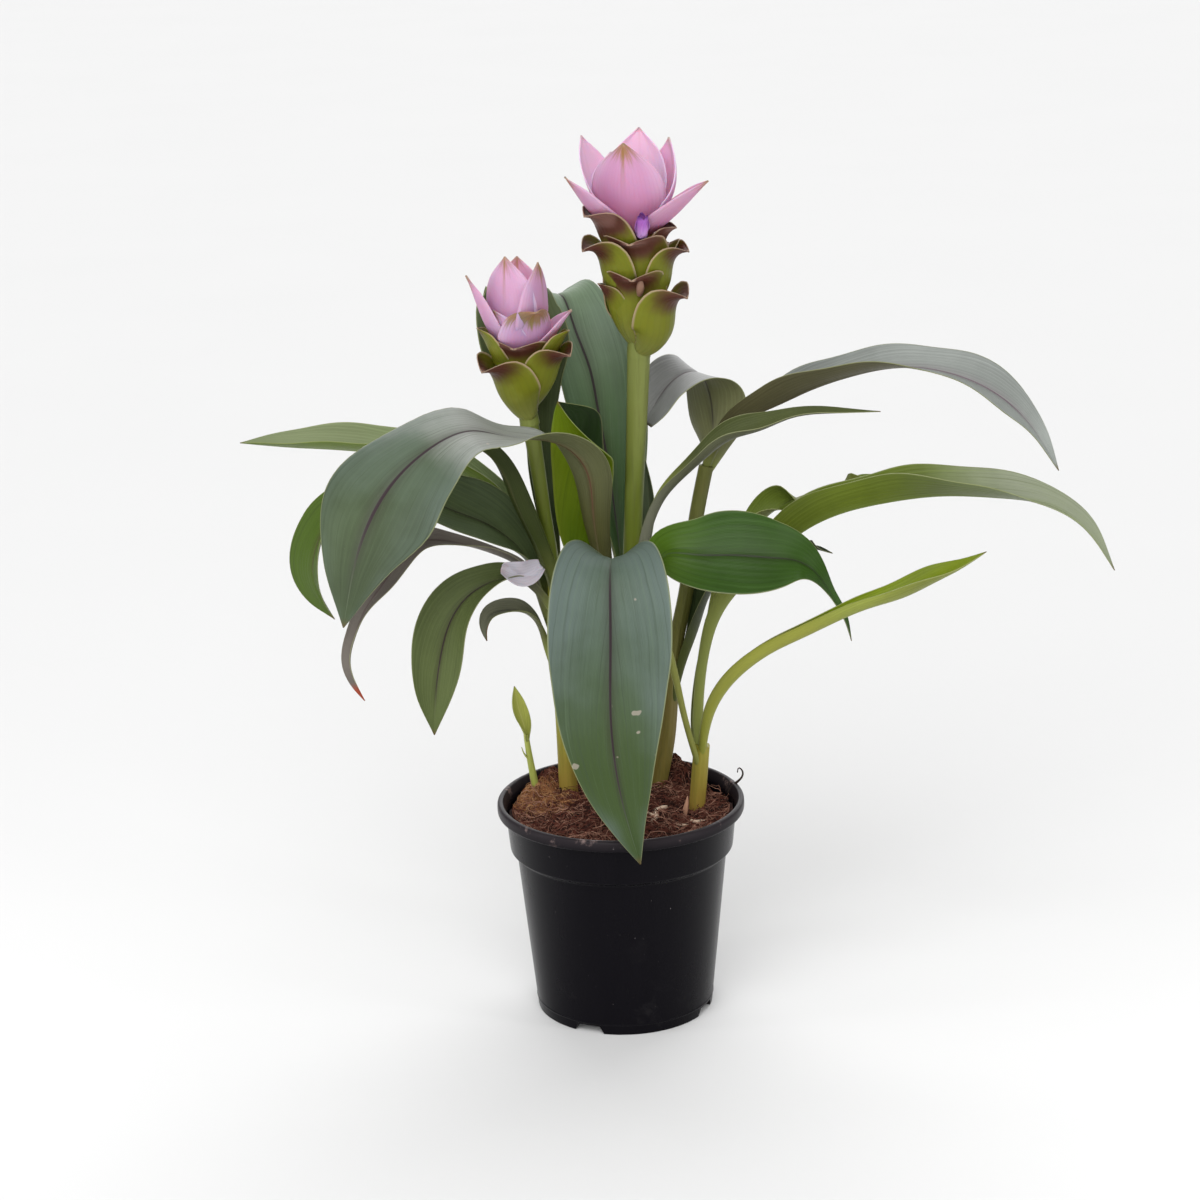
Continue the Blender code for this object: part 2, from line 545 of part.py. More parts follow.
def pot_profile():
    """The pot's section as radius and height, from the middle of its underside to the middle of its floor."""
    step = POT_HEIGHT - STEP_DEPTH
    lip = POT_HEIGHT - LIP_DEPTH
    floor = FOOT_HEIGHT + FLOOR_THICKNESS
    return (
        (0, 0),
        (PAD_RADIUS, 0),
        (PAD_RADIUS + 3, FOOT_HEIGHT),
        (FOOT_RADIUS - FOOT_RING - 1.5, FOOT_HEIGHT),
        (FOOT_RADIUS - FOOT_RING, 0),
        (FOOT_RADIUS, 0),
        (BODY_RADIUS, step - 1),
        (COLLAR_RADIUS - STEP_WIDTH, step + 1),
        (COLLAR_RADIUS, lip),
        (LIP_RADIUS - 0.5, lip),
        (LIP_RADIUS, lip + 1),
        (LIP_RADIUS, POT_HEIGHT - LIP_ROUND),
        (LIP_RADIUS - LIP_ROUND, POT_HEIGHT),
        (LIP_RADIUS - LIP_WIDTH, POT_HEIGHT),
        (COLLAR_RADIUS - 0.6, lip + 1),
        (COLLAR_RADIUS - STEP_WIDTH - WALL, step + 1 + WALL),
        (BODY_RADIUS - WALL, step - 1),
        (FOOT_RADIUS - WALL, floor),
        (0, floor),
    )


def add_pot(finish):
    """The pot, turned from its profile, with notches through its foot and drain holes through its floor."""
    shape = bmesh.new()
    points = [shape.verts.new((radius, 0, height)) for radius, height in pot_profile()]
    edges = [shape.edges.new(pair) for pair in zip(points, points[1:])]
    bmesh.ops.spin(
        shape, geom=points + edges, cent=(0, 0, 0), axis=(0, 0, 1),
        angle=math.tau, steps=POT_SIDES, use_merge=True,
    )
    bmesh.ops.remove_doubles(shape, verts=shape.verts, dist=0.01)
    bmesh.ops.recalc_face_normals(shape, faces=shape.faces)
    pot = add_object("pot", shape, finish)
    cuts = bpy.data.collections.new("pot_cuts")
    bpy.context.scene.collection.children.link(cuts)
    for index in range(NOTCHES):
        turn = Matrix.Rotation(NOTCH_FIRST + index * math.tau / NOTCHES, 4, "Z")
        notch = bmesh.new()
        bmesh.ops.create_cube(notch, size=1)
        for vert in notch.verts:
            vert.co.x = FOOT_RADIUS + vert.co.x * NOTCH_DEPTH
            vert.co.y *= NOTCH_WIDTH * (1 if vert.co.z < 0 else NOTCH_NARROWING)
            vert.co.z = NOTCH_HEIGHT if vert.co.z > 0 else -1
        bmesh.ops.transform(notch, matrix=turn, verts=notch.verts)
        cuts.objects.link(make_cutter(add_object(f"notch_{index}", notch, finish)))
    for index in range(DRAINS):
        angle = NOTCH_FIRST + index * math.tau / DRAINS
        hole = bmesh.new()
        bmesh.ops.create_cone(
            hole, cap_ends=True, segments=DRAIN_SIDES, radius1=DRAIN_RADIUS, radius2=DRAIN_RADIUS,
            depth=2 * FOOT_HEIGHT,
            matrix=Matrix.Rotation(angle, 4, "Z") @ Matrix.Translation((DRAIN_RING, 0, FOOT_HEIGHT + 1)),
        )
        cuts.objects.link(make_cutter(add_object(f"drain_{index}", hole, finish)))
    for cutter in cuts.objects:
        bpy.context.scene.collection.objects.unlink(cutter)
    boolean(pot, cuts, "DIFFERENCE")
    return pot


def soil_height(x, y):
    """The height of the coir's surface: a level with low heaps."""
    height = SOIL_LEVEL
    for east, north, rise, spread in HEAPS:
        height += rise * math.exp(-((x - east) ** 2 + (y - north) ** 2) / (2 * spread**2))
    return height


def add_soil(stem_holes, finish):
    """The coir, filling the pot up to its heaped surface, with a plain hole for each stem."""
    step = POT_HEIGHT - STEP_DEPTH
    floor = FOOT_HEIGHT + FLOOR_THICKNESS
    gap = WALL + CLEARANCE + 0.2
    side = (
        (FOOT_RADIUS - gap, floor + CLEARANCE),
        (BODY_RADIUS - gap, step - 1),
        (COLLAR_RADIUS - STEP_WIDTH - gap, step + 2 + WALL),
    )
    shape = bmesh.new()
    loops = []
    for radius, height in side + tuple((ring, None) for ring in SOIL_RINGS):
        made = bmesh.ops.create_circle(shape, segments=SOIL_SIDES, radius=radius)
        for vert in made["verts"]:
            vert.co.z = soil_height(vert.co.x, vert.co.y) if height is None else height
        loops.append(list({edge for vert in made["verts"] for edge in vert.link_edges}))
    for low, high in zip(loops, loops[1:]):
        bmesh.ops.bridge_loops(shape, edges=low + high)
    bmesh.ops.holes_fill(shape, edges=shape.edges)
    bmesh.ops.triangulate(shape, faces=shape.faces)
    bmesh.ops.recalc_face_normals(shape, faces=shape.faces)
    soil = add_object("soil", shape, finish)
    for hole in stem_holes:
        boolean(soil, hole, "DIFFERENCE")
    return soil


def fuse(name, pieces):
    """One object from several that overlap."""
    whole = pieces[0]
    for piece in pieces:
        apply_modifiers(piece)
    for piece in pieces[1:]:
        boolean(whole, piece, "UNION", "MANIFOLD")
        apply_modifiers(whole)
        bpy.data.objects.remove(piece)
    keep_outer_skin(whole)
    whole.name = name
    return whole


def add_sprout(finish):
    """The young shoot: a thin stem with one small blade and a scale at its side."""
    stem = tube("sprout", *SPROUT_STEM, finish, sides=8)
    curve = spline(SPROUT_BLADE)
    scale_curve = spline(SPROUT_SCALE)

    def place_blade(side_share, share):
        half = max(keyed(SPROUT_BLADE_WIDTH, share), 0) + TIP_HALF
        point, along, side, up = frame_at(curve, share, 160, 40)
        across, rise = section(side_share, half, keyed((150, 60, 30), share), 0)
        return point + side * across + up * rise

    def place_scale(side_share, share):
        half = SPROUT_SCALE_HALF * (1 - share) + TIP_HALF
        point, along, side, up = frame_at(scale_curve, share, 190, 0)
        across, rise = section(side_share, half, 60, 0)
        return point + side * across + up * rise

    blade = add_object("sprout_blade", blade_shape(place_blade, 6, 4), finish)
    thicken(blade, BLADE_THICKNESS)
    scale = add_object("sprout_scale", blade_shape(place_scale, 2, 2), finish)
    thicken(scale, BLADE_THICKNESS)
    return fuse("sprout", [stem, blade, scale])


def add_true_flower(finish):
    """The small violet flower that looks out between the tall head's bracts."""
    group = []
    foot = Vector(TRUE_FLOWER_FOOT)
    out = Vector(TRUE_FLOWER_LEAN).normalized()
    for index, turn in enumerate(TRUE_FLOWER_PETAL_TURNS):
        curve = spline((foot, foot + out * 5, foot + out * 12 + Vector((0, 0, 2))))

        def place(side_share, share, curve=curve, turn=turn):
            half = TRUE_FLOWER_PETAL_HALF * math.sin(math.pi * (0.15 + 0.8 * share)) + TIP_HALF
            point, along, side, up = frame_at(curve, share, 285, turn)
            across, rise = section(side_share, half, 70, 0)
            return point + side * across + up * (rise - 3)

        petal = add_object(f"flower_petal_{index}", blade_shape(place, 2, 2), finish)
        thicken(petal, BLADE_THICKNESS)
        group.append(petal)
    core_axis = (foot - out, foot + out * 4, foot + out * 8)
    core = tube("flower_core", core_axis, (3.4, 3.4, 2.4), finish, sides=CORE_SIDES)
    return fuse("true_flower", [core] + group)


def add_fallen_petal(finish):
    """A pale petal with a crease, lying across the left leaves' petioles."""
    curve = spline(FALLEN_PETAL)

    def place(side_share, share):
        half = FALLEN_PETAL_HALF * math.sin(math.pi * (0.12 + 0.76 * share)) + TIP_HALF
        point, along, side, up = frame_at(curve, share, 200, keyed((60, 75, 65), share))
        across, rise = section(side_share, half, 25, 20)
        return point + side * across + up * rise

    petal = add_object("fallen_petal", blade_shape(place, 4, 4), finish)
    thicken(petal, 0.6)
    return petal


def add_surface_root(finish):
    """A pale root with one branch, lying on the coir."""
    trunk = [(x, y, soil_height(x, y) + ROOT_LIFT) for x, y in ROOT_TRUNK]
    branch = [(x, y, soil_height(x, y) + ROOT_LIFT) for x, y in ROOT_BRANCH]
    return fuse("surface_root", [
        tube("surface_root", trunk, (1.0, 1.3, 0.9), finish, sides=6),
        tube("root_branch", branch, (0.9, 0.7), finish, sides=6),
    ])


def main():
    for old in list(bpy.data.objects):
        bpy.data.objects.remove(old)
    black = material("black_pot_plastic", (0.012, 0.011, 0.014), 0.32)
    coir = material("red_brown_coir", (0.13, 0.05, 0.03), 0.95)
    green = material("leaf_green", (0.09, 0.16, 0.08), 0.45)
    stem_green = material("stem_yellow_green", (0.32, 0.36, 0.08), 0.45)
    bract_green = material("bract_green", (0.30, 0.36, 0.06), 0.5)
    pink = material("bract_pink", (0.75, 0.42, 0.66), 0.5)
    violet = material("flower_violet", (0.42, 0.14, 0.60), 0.5)
    lilac = material("petal_pale_lilac", (0.78, 0.74, 0.82), 0.6)
    root_white = material("root_pale", (0.72, 0.60, 0.45), 0.7)

    fat_stems = {
        name: make_cutter(tube(name + "_room", *route_and_radii, green, extra=CLEARANCE))
        for name, route_and_radii in STEMS.items()
    }
    sprout_room = make_cutter(tube("sprout_room", *SPROUT_STEM, green, extra=CLEARANCE, sides=8))
    for name, route_and_radii in {**STEMS, **STALKS}.items():
        tube(name, *route_and_radii, stem_green)
    add_sprout(stem_green)
    for name, leaf in LEAVES.items():
        add_leaf(name, leaf, fat_stems, green)
    add_pot(black)
    add_soil([*fat_stems.values(), sprout_room], coir)

    tall_foot = TALL_AXIS[0][2] + 2 * CLEARANCE
    tall_middle = TALL_GREEN_TOP + CLEARANCE
    short_foot = SHORT_AXIS[0][2] + 2 * CLEARANCE
    short_middle = SHORT_GREEN_TOP + CLEARANCE
    tall_low = (TALL_AXIS, tall_foot, TALL_GREEN_TOP, (7, 6, 5), POUCH_OUTLINE, bract_green)
    tall_high = (TALL_AXIS, tall_middle, TALL_CORE_TOP, (5, 5, 3), PETAL_OUTLINE, pink)
    short_low = (SHORT_AXIS, short_foot, SHORT_GREEN_TOP, (6, 5, 4), POUCH_OUTLINE, bract_green)
    short_high = (SHORT_AXIS, short_middle, SHORT_CORE_TOP, (4, 4, 3), PETAL_OUTLINE, pink)
    add_bracts("tall_head_green_bracts", TALL_GREEN, *tall_low)
    add_bracts("tall_head_pink_bracts", TALL_PINK, *tall_high)
    add_bracts("short_head_green_bracts", SHORT_GREEN, *short_low)
    add_bracts("short_head_pink_bracts", SHORT_PINK, *short_high)
    add_true_flower(violet)
    add_fallen_petal(lilac)
    add_surface_root(root_white)


main()
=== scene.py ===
# %% [markdown]
# # A potted siam tulip
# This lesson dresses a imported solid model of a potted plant: a black nursery pot, its coir, four leafy
# shoots and two flower heads. Each leaf of the model is a coarse sheet. Here it is drawn again, finely,
# from the same midrib, and it gets the pleats, veins and colours of the real leaf.

# %% Load the model
import functools
import math
import random

import bmesh
import bpy
import numpy as np
from mathutils import Matrix, Vector, noise


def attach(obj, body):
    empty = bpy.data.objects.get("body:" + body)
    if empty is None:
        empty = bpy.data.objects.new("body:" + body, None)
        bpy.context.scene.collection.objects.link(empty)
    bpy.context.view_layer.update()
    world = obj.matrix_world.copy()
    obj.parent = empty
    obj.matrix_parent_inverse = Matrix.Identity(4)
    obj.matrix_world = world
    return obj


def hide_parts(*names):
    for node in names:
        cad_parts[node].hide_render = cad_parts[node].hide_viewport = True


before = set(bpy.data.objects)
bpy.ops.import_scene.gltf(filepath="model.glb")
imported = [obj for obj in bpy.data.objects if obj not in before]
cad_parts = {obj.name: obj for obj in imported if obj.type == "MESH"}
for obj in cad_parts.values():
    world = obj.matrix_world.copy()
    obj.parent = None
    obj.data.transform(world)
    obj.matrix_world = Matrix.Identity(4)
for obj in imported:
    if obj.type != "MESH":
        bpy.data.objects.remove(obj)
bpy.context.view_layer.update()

MM = 0.001

# %% [markdown]
# ## Camera
# The picture was taken with a long lens from a little above, so the pot's rim is a flat ellipse. A camera
# is a matrix: its columns are the directions to its right, up and backwards, and the last is its place.
# The small roll turns the picture about the lens.

# %% Camera
CAMERA_PLACE = Vector((-0.0094, -1.615, 0.740))
CAMERA_PITCH = math.radians(16.62)
CAMERA_ROLL = math.radians(1.5)
LENS = 85.0
SENSOR_WIDTH = 36.0

forward = Vector((0, math.cos(CAMERA_PITCH), -math.sin(CAMERA_PITCH)))
upright = Vector((0, math.sin(CAMERA_PITCH), math.cos(CAMERA_PITCH)))
east = Vector((1, 0, 0))
picture_right = east * math.cos(CAMERA_ROLL) - upright * math.sin(CAMERA_ROLL)
picture_up = east * math.sin(CAMERA_ROLL) + upright * math.cos(CAMERA_ROLL)
lens = bpy.data.cameras.new("camera")
lens.lens = LENS
lens.sensor_width = SENSOR_WIDTH
camera = bpy.data.objects.new("camera", lens)
turned = Matrix((picture_right, picture_up, -forward)).transposed().to_4x4()
camera.matrix_world = Matrix.Translation(CAMERA_PLACE) @ turned
bpy.context.scene.collection.objects.link(camera)
bpy.context.scene.camera = camera
print("camera looks along", tuple(round(c, 3) for c in forward))

# %% [markdown]
# ## Studio
# The plant stands in a white studio. A dim world fills the shadows, a soft key light comes from the front
# and above, and a second soft light from above the back lays a pale sheen on every leaf that lies flat. Two
# tall soft boxes draw the upright bright streaks on the sides of the glossy pot.

# %% Studio
WORLD_BRIGHTNESS = 0.40


def add_light(name, kind, power, direction):
    """A lamp of one kind that shines in a direction."""
    light = bpy.data.lights.new(name, kind)
    light.energy = power
    lamp = bpy.data.objects.new(name, light)
    lamp.rotation_euler = Vector(direction).to_track_quat("-Z", "Y").to_euler()
    bpy.context.scene.collection.objects.link(lamp)
    return lamp


def soft_box(name, place, aim, width, height, watts):
    """A rectangle of light that faces a point."""
    box = add_light(name, "AREA", watts, Vector(aim) - Vector(place))
    box.location = place
    box.data.shape = "RECTANGLE"
    box.data.size = width
    box.data.size_y = height


def soft_sun(name, direction, strength, spread):
    """Sunlight from a broad patch of sky."""
    add_light(name, "SUN", strength, direction).data.angle = math.radians(spread)


world = bpy.data.worlds.new("studio")
world.use_nodes = True
background = world.node_tree.nodes["Background"].inputs
background["Color"].default_value = (1, 1, 1, 1)
background["Strength"].default_value = WORLD_BRIGHTNESS
bpy.context.scene.world = world
bpy.context.scene.view_settings.view_transform = "Standard"
soft_sun("key", (0.25, 1.0, -0.8), 2.45, 60)
soft_sun("back", (-0.15, -1.0, -0.8), 2.0, 70)
soft_box("left_box", (-0.75, -0.20, 0.30), (0, 0, 0.12), 0.07, 0.9, 1.2)
soft_box("right_box", (0.70, -0.40, 0.30), (0, 0, 0.12), 0.08, 0.9, 1.4)

# %% [markdown]
# ## Shader maths
# A material is a graph of nodes. The class below wraps one output of a node, so that 1 - mask or
# veins * 0.3 adds the Math nodes by itself. Any other node comes from one method of the material.


# %% Shader maths
class Wire:
    """One value in a material's node graph."""

    def __init__(self, finish, socket):
        self.finish = finish
        self.socket = socket

    def math(self, operation, first, second=0.0):
        return self.finish.node("ShaderNodeMath", {"operation": operation}, {0: first, 1: second})

    def __add__(self, other):
        return self.math("ADD", self, other)

    def __sub__(self, other):
        return self.math("SUBTRACT", self, other)

    def __rsub__(self, other):
        return self.math("SUBTRACT", other, self)

    def __mul__(self, other):
        return self.math("MULTIPLY", self, other)

    def __pow__(self, other):
        return self.math("POWER", self, other)

    def __abs__(self):
        return self.math("ABSOLUTE", self)

    def at_least(self, other):
        return self.math("MAXIMUM", self, other)

    def wave(self):
        """A smooth wave between 0 and 1, with its top where the value is a whole number."""
        return self.math("COSINE", self * math.tau) * 0.5 + 0.5

    __radd__ = __add__
    __rmul__ = __mul__


class Finish:
    """A material, and the few tools that its pattern is built from."""

    def __init__(self, name, roughness=0.5, **constants):
        self.material = bpy.data.materials.new(name)
        self.material.use_nodes = True
        self.tree = self.material.node_tree
        self.shader = self.tree.nodes["Principled BSDF"]
        self.set("Roughness", roughness)
        for socket, value in constants.items():
            self.set(socket.replace("_", " "), value)

    def node(self, kind, settings, inputs, output=0):
        """Adds a node, with its settings, and with the values or wires of its inputs."""
        made = self.tree.nodes.new(kind)
        for name, value in settings.items():
            setattr(made, name, value)
        for key, value in inputs.items():
            self.plug(made.inputs[key], value)
        return Wire(self, made.outputs[output])

    def plug(self, socket, value):
        if isinstance(value, Wire):
            self.tree.links.new(value.socket, socket)
        elif socket.type == "RGBA":
            socket.default_value = (*value, 1)
        else:
            socket.default_value = value

    def set(self, socket, value):
        self.plug(self.shader.inputs[socket], value)

    def place(self, stretch=(1, 1, 1)):
        """The point on the piece, in metres, stretched along each axis."""
        point = self.node("ShaderNodeTexCoord", {}, {}, "Object")
        return self.node("ShaderNodeMapping", {}, {0: point, 3: stretch})

    def grain(self, scale, detail=3.0, roughness=0.5, at=None):
        """Cloudy noise around 0.5."""
        inputs = {"Vector": at or self.place(), "Scale": scale, "Detail": detail, "Roughness": roughness}
        return self.node("ShaderNodeTexNoise", {}, inputs)

    def step(self, value, low, high):
        """0 below low, 1 above high, with a soft rise between them."""
        settings = {"interpolation_type": "SMOOTHSTEP"}
        return self.node("ShaderNodeMapRange", settings, {0: value, 1: low, 2: high})

    def mix(self, share, below, above):
        """One colour over another, by a share from 0 to 1."""
        return self.node("ShaderNodeMix", {"data_type": "RGBA"}, {0: share, 6: below, 7: above}, 2)

    def axes(self, vector):
        """The three parts of a vector."""
        split = self.node("ShaderNodeSeparateXYZ", {}, {0: vector}).socket.node
        return [Wire(self, output) for output in split.outputs]

    def blade_map(self):
        """Across a blade and along it, each from 0 to 1."""
        across, along, _ = self.axes(self.node("ShaderNodeUVMap", {"uv_map": "blade"}, {}))
        return across, along

    def bump(self, height, strength, depth_mm):
        """Makes the surface look raised where height is larger."""
        inputs = {"Strength": strength, "Distance": depth_mm * MM, "Height": height}
        self.set("Normal", self.node("ShaderNodeBump", {}, inputs))


def toned(colour, times, plus=0.0):
    """A colour made darker or lighter."""
    return [min(1, part * times + plus) for part in colour]


def mesh_object(name, shape):
    """A new object of the scene from a bmesh, which is used up."""
    mesh = bpy.data.meshes.new(name)
    shape.to_mesh(mesh)
    shape.free()
    made = bpy.data.objects.new(name, mesh)
    bpy.context.scene.collection.objects.link(made)
    return made


print("shader tools ready")

# %% [markdown]
# ## Floor
# The floor is a plain pale sheet, far larger than the picture. It belongs to the studio, and a faint grain
# keeps it from looking like empty paper.

# %% Floor
FLOOR_SIZE = 60.0
floor_finish = Finish("studio_floor", 1.0, Specular_IOR_Level=0.0)
floor_grain = floor_finish.grain(3.0)
floor_colour = floor_finish.mix(floor_grain, (0.715, 0.715, 0.715), (0.73, 0.73, 0.73))
floor_finish.set("Base Color", floor_colour)
floor_shape = bmesh.new()
bmesh.ops.create_grid(floor_shape, x_segments=1, y_segments=1, size=FLOOR_SIZE / 2)
floor = mesh_object("floor", floor_shape)
floor.data.materials.append(floor_finish.material)
print("floor", FLOOR_SIZE, "m wide")

# %% [markdown]
# ## Curves and sections
# A leaf is a midrib, which is a smooth curve through a few chosen points, and a section that changes along
# it. The keys of a section are spaced evenly from the sheath to the tip, and a smooth curve runs through
# them. All sizes are in millimetres until a piece is finished.


# %% Curves and sections
def keyed(values, share):
    """The value at a share of the way through keys spaced evenly, on a smooth curve through them."""
    if len(values) == 1:
        return values[0]
    last = len(values) - 1
    place = min(max(share, 0.0), 1.0) * last
    first = min(int(place), last - 1)
    step = place - first
    low, high = values[first], values[first + 1]
    before = values[first - 1] if first > 0 else 2 * low - high
    after = values[first + 2] if first + 2 <= last else 2 * high - low
    bend = 2 * before - 5 * low + 4 * high - after
    twist = 3 * (low - high) + after - before
    return low + 0.5 * step * (high - before + step * (bend + step * twist))


def spline(points, count=300):
    """Points at equal spacing along the natural cubic spline through the given points."""
    given = np.array(points, float)
    gaps = np.linalg.norm(np.diff(given, axis=0), axis=1)
    slopes = np.diff(given, axis=0) / gaps[:, None]
    system = np.eye(len(given))
    change = np.zeros_like(given)
    for i in range(1, len(given) - 1):
        system[i, i - 1 : i + 2] = gaps[i - 1], 2 * (gaps[i - 1] + gaps[i]), gaps[i]
        change[i] = 6 * (slopes[i] - slopes[i - 1])
    bend = np.linalg.solve(system, change)
    knots = np.concatenate([[0], np.cumsum(gaps)])
    places = np.linspace(0, knots[-1], count)
    span = np.clip(np.searchsorted(knots, places, side="right") - 1, 0, len(gaps) - 1)
    gap = gaps[span][:, None]
    near = (knots[span + 1] - places)[:, None] / gap
    far = 1 - near
    curve = near * given[span] + far * given[span + 1]
    curve += ((near**3 - near) * bend[span] + (far**3 - far) * bend[span + 1]) * gap**2 / 6
    run = np.concatenate([[0], np.cumsum(np.linalg.norm(np.diff(curve, axis=0), axis=1))])
    even = np.linspace(0, run[-1], count)
    return np.stack([np.interp(even, run, curve[:, axis]) for axis in range(3)], axis=1)


def length_of(curve):
    return float(np.linalg.norm(np.diff(curve, axis=0), axis=1).sum())


def read_curve(curve, share):
    """The point and the direction of a sampled curve at a share of its length."""
    last = len(curve) - 1
    place = min(max(share, 0.0), 1.0) * last
    first = min(int(place), last - 1)
    point = curve[first] + (curve[first + 1] - curve[first]) * (place - first)
    around = curve[min(first + 2, last)] - curve[max(first - 1, 0)]
    return Vector(point), Vector(around).normalized()


def section(share, half, cup, fold):
    """How far across and how far up a point of a section lies, with share from -1 to 1."""
    bend = math.radians(cup if abs(cup) > 1 else 1) / half
    start = math.radians(fold)
    run = abs(share) * half
    across = (math.sin(start + bend * run) - math.sin(start)) / bend
    rise = (math.cos(start) - math.cos(start + bend * run)) / bend
    return math.copysign(across, share), rise


def frame_at(curve, share, facing, roll):
    """A point of a curve, with the along, side and upper directions of the blade there."""
    point, along = read_curve(curve, share)
    facing = math.radians(facing)
    side = Vector((math.sin(facing), -math.cos(facing), 0))
    side = (side - along * side.dot(along)).normalized()
    side = Matrix.Rotation(math.radians(-roll), 3, along) @ side
    return point, along, side, side.cross(along)


print("half way between keys 0, 4 and 6:", keyed((0, 4, 6), 0.5))

# %% [markdown]
# ## From grid to piece
# A sheet starts as a flat grid. Its flat place is kept as a map called blade, so that veins can follow the
# leaf, and then each point moves to its place on the curved blade. A finished piece rides on the root body
# and stands for the coarse solid that it replaces.


# %% From grid to piece
def add_sheet(shape, rows, columns, place, brown=0.0):
    """Adds a grid to a bmesh, maps it, and moves its points to where place() says."""
    blade_map = shape.loops.layers.uv.get("blade") or shape.loops.layers.uv.new("blade")
    brown_layer = shape.verts.layers.float.get("brown") or shape.verts.layers.float.new("brown")
    points = bmesh.ops.create_grid(shape, x_segments=columns, y_segments=rows, size=0.5)["verts"]
    for face in {face for point in points for face in point.link_faces}:
        for corner in face.loops:
            corner[blade_map].uv = (corner.vert.co.x + 0.5, corner.vert.co.y + 0.5)
    for point in points:
        point[brown_layer] = brown
        point.co = place(2 * point.co.x, point.co.y + 0.5)


def add_piece(name, shape, finishes, slot, stands_for=(), thickness=None, sharp=50):
    """A new object from a bmesh in millimetres, with its finishes."""
    bmesh.ops.scale(shape, vec=(MM, MM, MM), verts=shape.verts)
    piece = mesh_object(name, shape)
    for finish in finishes:
        piece.data.materials.append(finish.material)
    piece.data.shade_smooth()
    piece.data.set_sharp_from_angle(angle=math.radians(sharp))
    if thickness:
        solid = piece.modifiers.new("Thickness", "SOLIDIFY")
        solid.thickness = thickness * MM
        solid.offset = 0
        solid.material_offset = len(finishes) - 1
        solid.material_offset_rim = len(finishes) - 1
    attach(piece, "root")
    if stands_for:
        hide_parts(*stands_for)
    return piece


def edges_of(verts):
    """The edges of a ring of new points."""
    return list({edge for vert in verts for edge in vert.link_edges})


def close_skin(shape, loops):
    """Joins edge loops, each to the next, and closes both ends."""
    for low, high in zip(loops, loops[1:]):
        bmesh.ops.bridge_loops(shape, edges=low + high)
    bmesh.ops.holes_fill(shape, edges=loops[0] + loops[-1])
    bmesh.ops.recalc_face_normals(shape, faces=shape.faces)


def add_tube(shape, points, radii, sides=12, rings=24, swell=None):
    """Adds a round tube along a smooth curve to a bmesh. swell(share, angle) adds to its radius."""
    curve = spline(points)
    loops = []
    for ring in range(rings):
        share = ring / (rings - 1)
        point, along = read_curve(curve, share)
        side = Vector((0, 1, 0)).cross(along).normalized()
        turn = Matrix((side, along.cross(side), along)).transposed()
        made = bmesh.ops.create_circle(shape, segments=sides, radius=1)["verts"]
        for vert in made:
            angle = math.atan2(vert.co.y, vert.co.x)
            radius = keyed(radii, share) + (swell(share, angle) if swell else 0)
            vert.co = point + turn @ (vert.co * radius)
        loops.append(edges_of(made))
    close_skin(shape, loops)


def tube_piece(name, points, radii, finish, slot, stands_for=(), **form):
    """A piece that is one tube."""
    shape = bmesh.new()
    add_tube(shape, points, radii, **form)
    return add_piece(name, shape, [finish], slot, stands_for)


def blade_point(curve, share, side_share, half, facing, roll, cup, fold=0, lift=0):
    """The place of a point of a small blade: a section of its half width, on its midrib."""
    point, _, side, up = frame_at(curve, share, facing, roll)
    across, rise = section(side_share, half, cup, fold)
    return point + side * across + up * (rise + lift)


print("piece tools ready")

# %% [markdown]
# ## Leaf finish
# A fresh leaf of this plant is green under a thin grey-blue bloom of wax, and olive or brownish below. The
# grey-blue haze is painted partly as that bloom and partly as sheen, and some leaves carry a pale band of
# painted sheen. Fine veins leave the purple midrib at a very sharp angle and run on towards the tip, nearly
# side by side. Each vein is a crest of one cosine wave across the leaf's map, so its light line, the painted
# shade in the furrow beside it and its bump always agree.


# %% Leaf finish
VEIN_SLOPE = 0.95  # how far towards the tip a vein has run when it meets the margin
MARGIN = (0.30, 0.32, 0.15)
SCAR = (0.50, 0.42, 0.36)
# The grey-blue of the wax bloom, partly painted sheen.
BLOOM_AND_SHEEN = (0.135, 0.175, 0.170)
# The colour of the band of painted sheen.
SHEEN_PAINT = (0.42, 0.43, 0.41)


